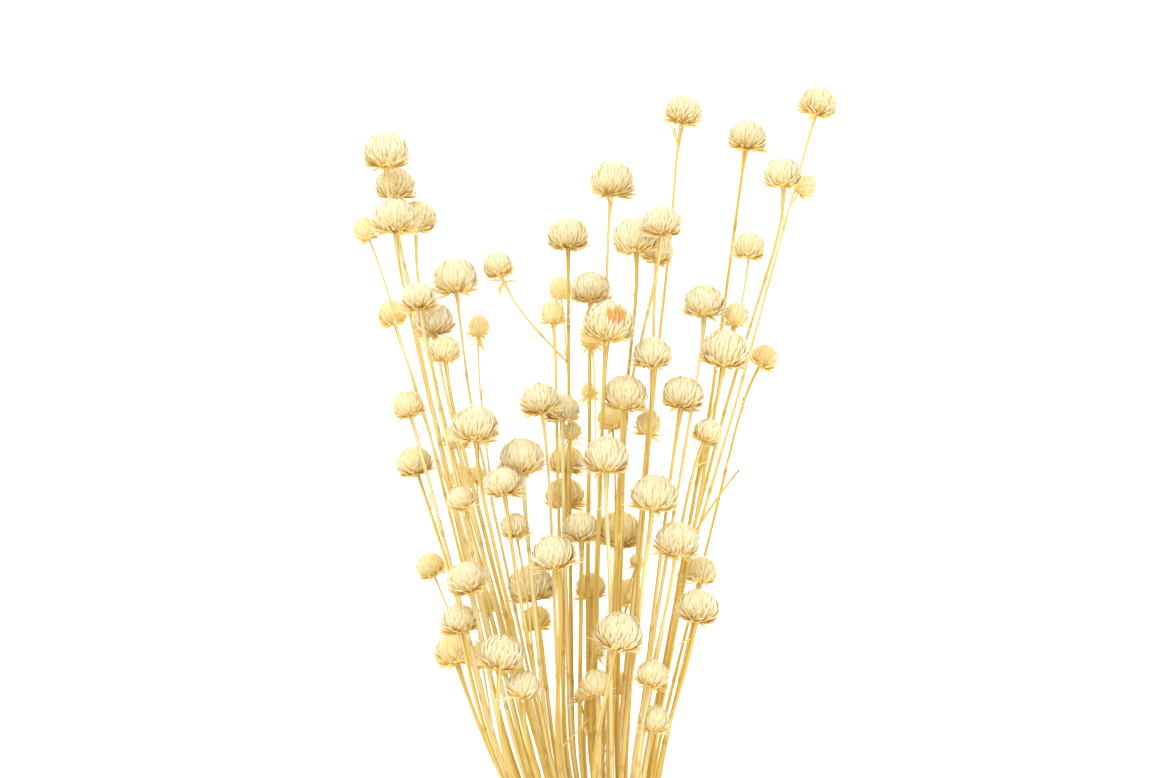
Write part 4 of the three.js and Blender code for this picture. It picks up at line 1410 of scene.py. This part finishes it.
@dataclass(frozen=True)
class BractFinish:
    """Bleached papery bracts: golden at the roots, partly their own colour and partly painted shade in the
    hollows, golden low on the head, partly their own colour and partly painted shade on its underside, ivory
    at the tips, finely veined, with painted shade on heads that lie low.
    """

    root: tuple = pale(250, 232, 170)
    base: tuple = pale(243, 208, 112)
    body: tuple = pale(244, 235, 204)
    edge: tuple = pale(247, 242, 222)
    aged_and_low_shade: tuple = pale(248, 224, 146)
    speck: tuple = pale(178, 124, 52)
    blush: tuple = pale(236, 160, 52)

    def make(self) -> bpy.types.Material:
        """Mixes the colours by the way along a bract, its draw, its height on the head and its blush.

        Returns:
            The material.
        """
        shader = Shader("papery_bract")
        along, chance, height, turned = shader.tone()
        veins = shader.noise(shader.grain((9.0, 0.5, 1.0)), 4.0)
        mottle = shader.noise(shader.grain((0.8, 0.8, 1.0)), 3.0)
        # The root gold at the bracts' roots, which shows in the hollows, is partly their own colour and
        # partly painted shade there; the base gold low on the head is partly their own colour and partly
        # painted shade on its underside.
        colour = shader.blend(self.root, self.body, along.rising(0.2, 0.8))
        # The draw makes the tips paler on heads that lie high, which is partly painted light from their
        # height.
        colour = shader.blend(colour, self.edge, along.rising(0.5, 0.95) * (0.3 + 0.7 * chance))
        low = 1 - height.rising(0.02, 0.4)
        colour = shader.blend(colour, self.base, low * (1 - along.rising(0.3, 0.95)) * 0.9)
        # aged_and_low_shade is partly a random aged tone of each head and partly painted shade on heads that
        # lie low, by the draw.
        colour = shader.blend(colour, self.aged_and_low_shade, (1 - chance.rising(0.15, 0.6)) * 0.8)
        colour = shader.blend(colour, self.root, veins.rising(0.52, 0.72) * 0.25)
        tips = along.rising(0.8, 0.98) * mottle.rising(0.57, 0.66)
        colour = shader.blend(colour, self.speck, tips * 0.7)
        colour = shader.blend(colour, self.blush, turned * (0.8 + 0.35 * mottle))
        relief = 0.7 * veins + 0.3 * mottle
        return shader.finish(colour, 0.58 + 0.2 * mottle, relief, 0.00012, {"Specular IOR Level": 0.3})


@dataclass(frozen=True)
class StemFinish:
    """Dry stems: long streaks from pale straw to gold, browner at the knots, with painted shade in the rib
    grooves of the neck and along dark lines down one side, and more golden towards the tie as painted shade,
    with a pithy cut end.
    """

    straw: tuple = pale(248, 231, 154)
    gold: tuple = pale(210, 172, 58)
    pale_straw: tuple = pale(255, 248, 204)
    knot: tuple = pale(184, 134, 32)
    pith: tuple = pale(236, 222, 178)

    def make(self) -> bpy.types.Material:
        """Mixes the colours by streaks along the stem, its height over the tie, which paints shade towards
        the tie, its draw, its knots, and the painted shade of its grooves and dark lines.

        Returns:
            The material.
        """
        shader = Shader("dry_stem")
        along, chance, knots, cut = shader.tone()
        streaks = shader.noise(shader.grain((1.3, 0.03, 1.3)), 4.0)
        fibres = shader.noise(shader.grain((9.0, 0.16, 9.0)), 3.0)
        blotch = shader.noise(shader.grain((0.25, 0.035, 0.25)), 2.0)
        colour = shader.blend(self.gold, self.straw, streaks.rising(0.34, 0.6))
        # Painted shade: by the height over the tie, the stems grow less pale and more golden towards the
        # tie, where they crowd together.
        colour = shader.blend(colour, self.pale_straw, fibres.rising(0.5, 0.7) * (0.3 + 0.45 * along))
        colour = shader.blend(colour, self.gold, blotch.rising(0.5, 0.72) * (0.34 - 0.2 * along))
        colour = shader.blend(colour, self.gold, chance.rising(0.45, 0.95) * 0.6)
        colour = shader.blend(colour, self.pale_straw, (1 - chance.rising(0.1, 0.5)) * 0.5)
        colour = shader.blend(colour, self.gold, (1 - along.rising(0.1, 0.75)) * 0.36)
        # The knot colour is real browning at the knots and painted shade in the grooves and along the dark
        # lines.
        colour = shader.blend(colour, self.knot, knots * (0.35 + 0.9 * streaks))
        colour = shader.blend(colour, self.pith, cut.rising(0.15, 0.5))
        relief = 0.6 * streaks + 0.4 * fibres
        return shader.finish(colour, 0.5 + 0.25 * fibres, relief, 0.0002, {"Specular IOR Level": 0.4})


@dataclass(frozen=True)
class TwineFinish:
    """Natural twine: tan fibres that follow the twist, with painted shade in the grooves between the plies.
    """

    fibre: tuple = pale(203, 168, 112)
    light: tuple = pale(228, 201, 150)
    groove: tuple = pale(128, 92, 48)

    def make(self) -> bpy.types.Material:
        """Mixes the colours by the height on a ply, which paints shade in its grooves, and by fibres that
        follow the twist.

        Returns:
            The material.
        """
        shader = Shader("natural_twine")
        ridge, chance, _, _ = shader.tone()
        fibres = shader.noise(shader.grain((7.0, 0.7, 7.0)), 5.0)
        # Painted shade: the groove colour darkens the twine where it lies low between the plies; it also
        # darkens fibres at random.
        colour = shader.blend(self.groove, self.fibre, ridge.rising(0.05, 0.6))
        colour = shader.blend(colour, self.light, fibres.rising(0.48, 0.68) * (0.5 + 0.4 * chance))
        colour = shader.blend(colour, self.groove, (1 - fibres).rising(0.58, 0.75) * 0.5)
        return shader.finish(colour, 0.82, fibres, 0.0003, {"Specular IOR Level": 0.2})


@dataclass
class Studio:
    """A white surface, soft light mostly from the upper left, and the camera, which looks straight down."""

    tie: np.ndarray
    camera_height: float = 4200.0
    middle_height: float = 48.0
    floor_reach: float = 9000.0
    floor_glow: float = 0.9
    sky: float = 0.98
    key_watts: float = 15.0
    fill_watts: float = 14.0

    def build(self) -> None:
        """Makes the floor, the lights and the camera."""
        self.floor()
        self.world()
        self.lamp("key_light", (-900.0, 1250.0, 1700.0), 1100.0, self.key_watts)
        self.lamp("fill_light", (700.0, -1500.0, 1500.0), 1500.0, self.fill_watts)
        self.camera()

    def floor(self) -> None:
        """Lays the plain pale floor."""
        reach = self.floor_reach * MM
        mesh = bpy.data.meshes.new("pale_floor")
        corners = [(-reach, -reach, 0), (reach, -reach, 0), (reach, reach, 0), (-reach, reach, 0)]
        mesh.from_pydata(corners, [], [(0, 1, 2, 3)])
        shader = Shader("pale_floor")
        surface = shader.node("ShaderNodeBsdfPrincipled", {}, {
            "Base Color": (0.9, 0.9, 0.9, 1), "Roughness": 0.9, "Specular IOR Level": 0.0,
            "Emission Color": (1, 1, 1, 1), "Emission Strength": self.floor_glow,
        })
        shader.node_end(surface)
        mesh.materials.append(shader.material)
        floor = bpy.data.objects.new("pale_floor", mesh)
        bpy.context.scene.collection.objects.link(floor)

    def world(self) -> None:
        """Sets the even white light from all round, and colours shown as they are."""
        world = bpy.data.worlds.new("studio")
        world.use_nodes = True
        back = world.node_tree.nodes["Background"]
        back.inputs["Color"].default_value = (1, 1, 1, 1)
        back.inputs["Strength"].default_value = self.sky
        bpy.context.scene.world = world
        bpy.context.scene.view_settings.view_transform = "Standard"
        bpy.context.scene.view_settings.look = "None"

    def lamp(self, name: str, place: tuple[float, float, float], size: float, watts: float) -> None:
        """Hangs a soft square lamp that faces the middle of the blooms.

        Args:
            name: its name.
            place: where it hangs, in millimetres.
            size: the length of its side, in millimetres.
            watts: its power.
        """
        light = bpy.data.lights.new(name, "AREA")
        light.size = size * MM
        light.energy = watts
        lamp = bpy.data.objects.new(name, light)
        target = Vector((0, 60 * MM, 30 * MM))
        at = Vector([part * MM for part in place])
        facing = (target - at).to_track_quat("-Z", "Y").to_matrix().to_4x4()
        lamp.matrix_world = Matrix.Translation(at) @ facing
        bpy.context.scene.collection.objects.link(lamp)

    def camera(self) -> None:
        """Sets the camera over the photo's middle, so high that perspective hardly shows."""
        data = bpy.data.cameras.new("photo_camera")
        data.sensor_width = 36.0
        data.lens = 36.0 * (self.camera_height - self.middle_height) / (PHOTO_SIZE[0] * PHOTO_SCALE)
        data.clip_end = 60.0
        camera = bpy.data.objects.new("photo_camera", data)
        x = self.tie[0] + (PHOTO_MIDDLE[0] - PHOTO_TIE[0]) * PHOTO_SCALE
        y = self.tie[1] + (PHOTO_TIE[1] - PHOTO_MIDDLE[1]) * PHOTO_SCALE
        camera.location = (x * MM, y * MM, self.camera_height * MM)
        bpy.context.scene.collection.objects.link(camera)
        bpy.context.scene.camera = camera


@dataclass
class FlowerStem:
    """One flower stem's piece: its stem, its shoots, their heads and their dry leaves."""

    number: int
    strands: list[Strand]
    tie: np.ndarray

    @property
    def node(self) -> str:
        """The name of the CAD node that it replaces."""
        return f"flower_stem_{self.number:02d}"

    def make(self, finishes: list[bpy.types.Material]) -> bpy.types.Object:
        """Makes the piece.

        Args:
            finishes: the bracts' material and the stem's, in the order of their slots.

        Returns:
            The piece's object.
        """
        draw = np.random.default_rng(9000 + self.number)
        fabric = Fabric()
        for strand in self.strands:
            StemSkin(strand, float(self.tie[1]), draw).weave(fabric)
            FlowerHead(strand.head, draw).weave(fabric)
        for scrap in SCRAPS.get(self.number, ()):
            strand = self.strands[scrap.shoot]
            height = scrap.along + self.tie[1]
            at = strand.at(height)
            way = unit(strand.at(height + 5) - strand.at(height - 5))
            leaf_on(fabric, at, way, scrap, draw)
        return fabric.piece(f"globe_stem_{self.number:02d}", finishes)


def main() -> None:
    """Builds the bunch over its frame, and the studio round it."""
    logging.basicConfig(level=logging.INFO, format="%(message)s")
    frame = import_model()
    reader = StemReader(StemRules())
    finishes = [BractFinish().make(), StemFinish().make()]
    crossings = []
    tie = np.zeros(3)
    for number, row in enumerate(PLAN, start=1):
        strands, tie = reader.strands(frame["nodes"][f"flower_stem_{number:02d}"], row)
        strands[0].head.blush = number == BLUSHED
        crossings.append(strands[0].at(tie[1])[[0, 2]])
        stem = FlowerStem(number, strands, tie)
        piece = stem.make(finishes)
        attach(piece, "root")
        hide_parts(stem.node)
        LOG.info("%s: %d heads, %d faces", piece.name, len(strands), len(piece.data.polygons))
    wrap = TwineTie(tie, np.array(crossings)).make(TwineFinish().make())
    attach(wrap, "root")
    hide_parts("twine_tie")
    LOG.info("%s: %d faces", wrap.name, len(wrap.data.polygons))
    Studio(tie).build()


if __name__ == "__main__":
    main()
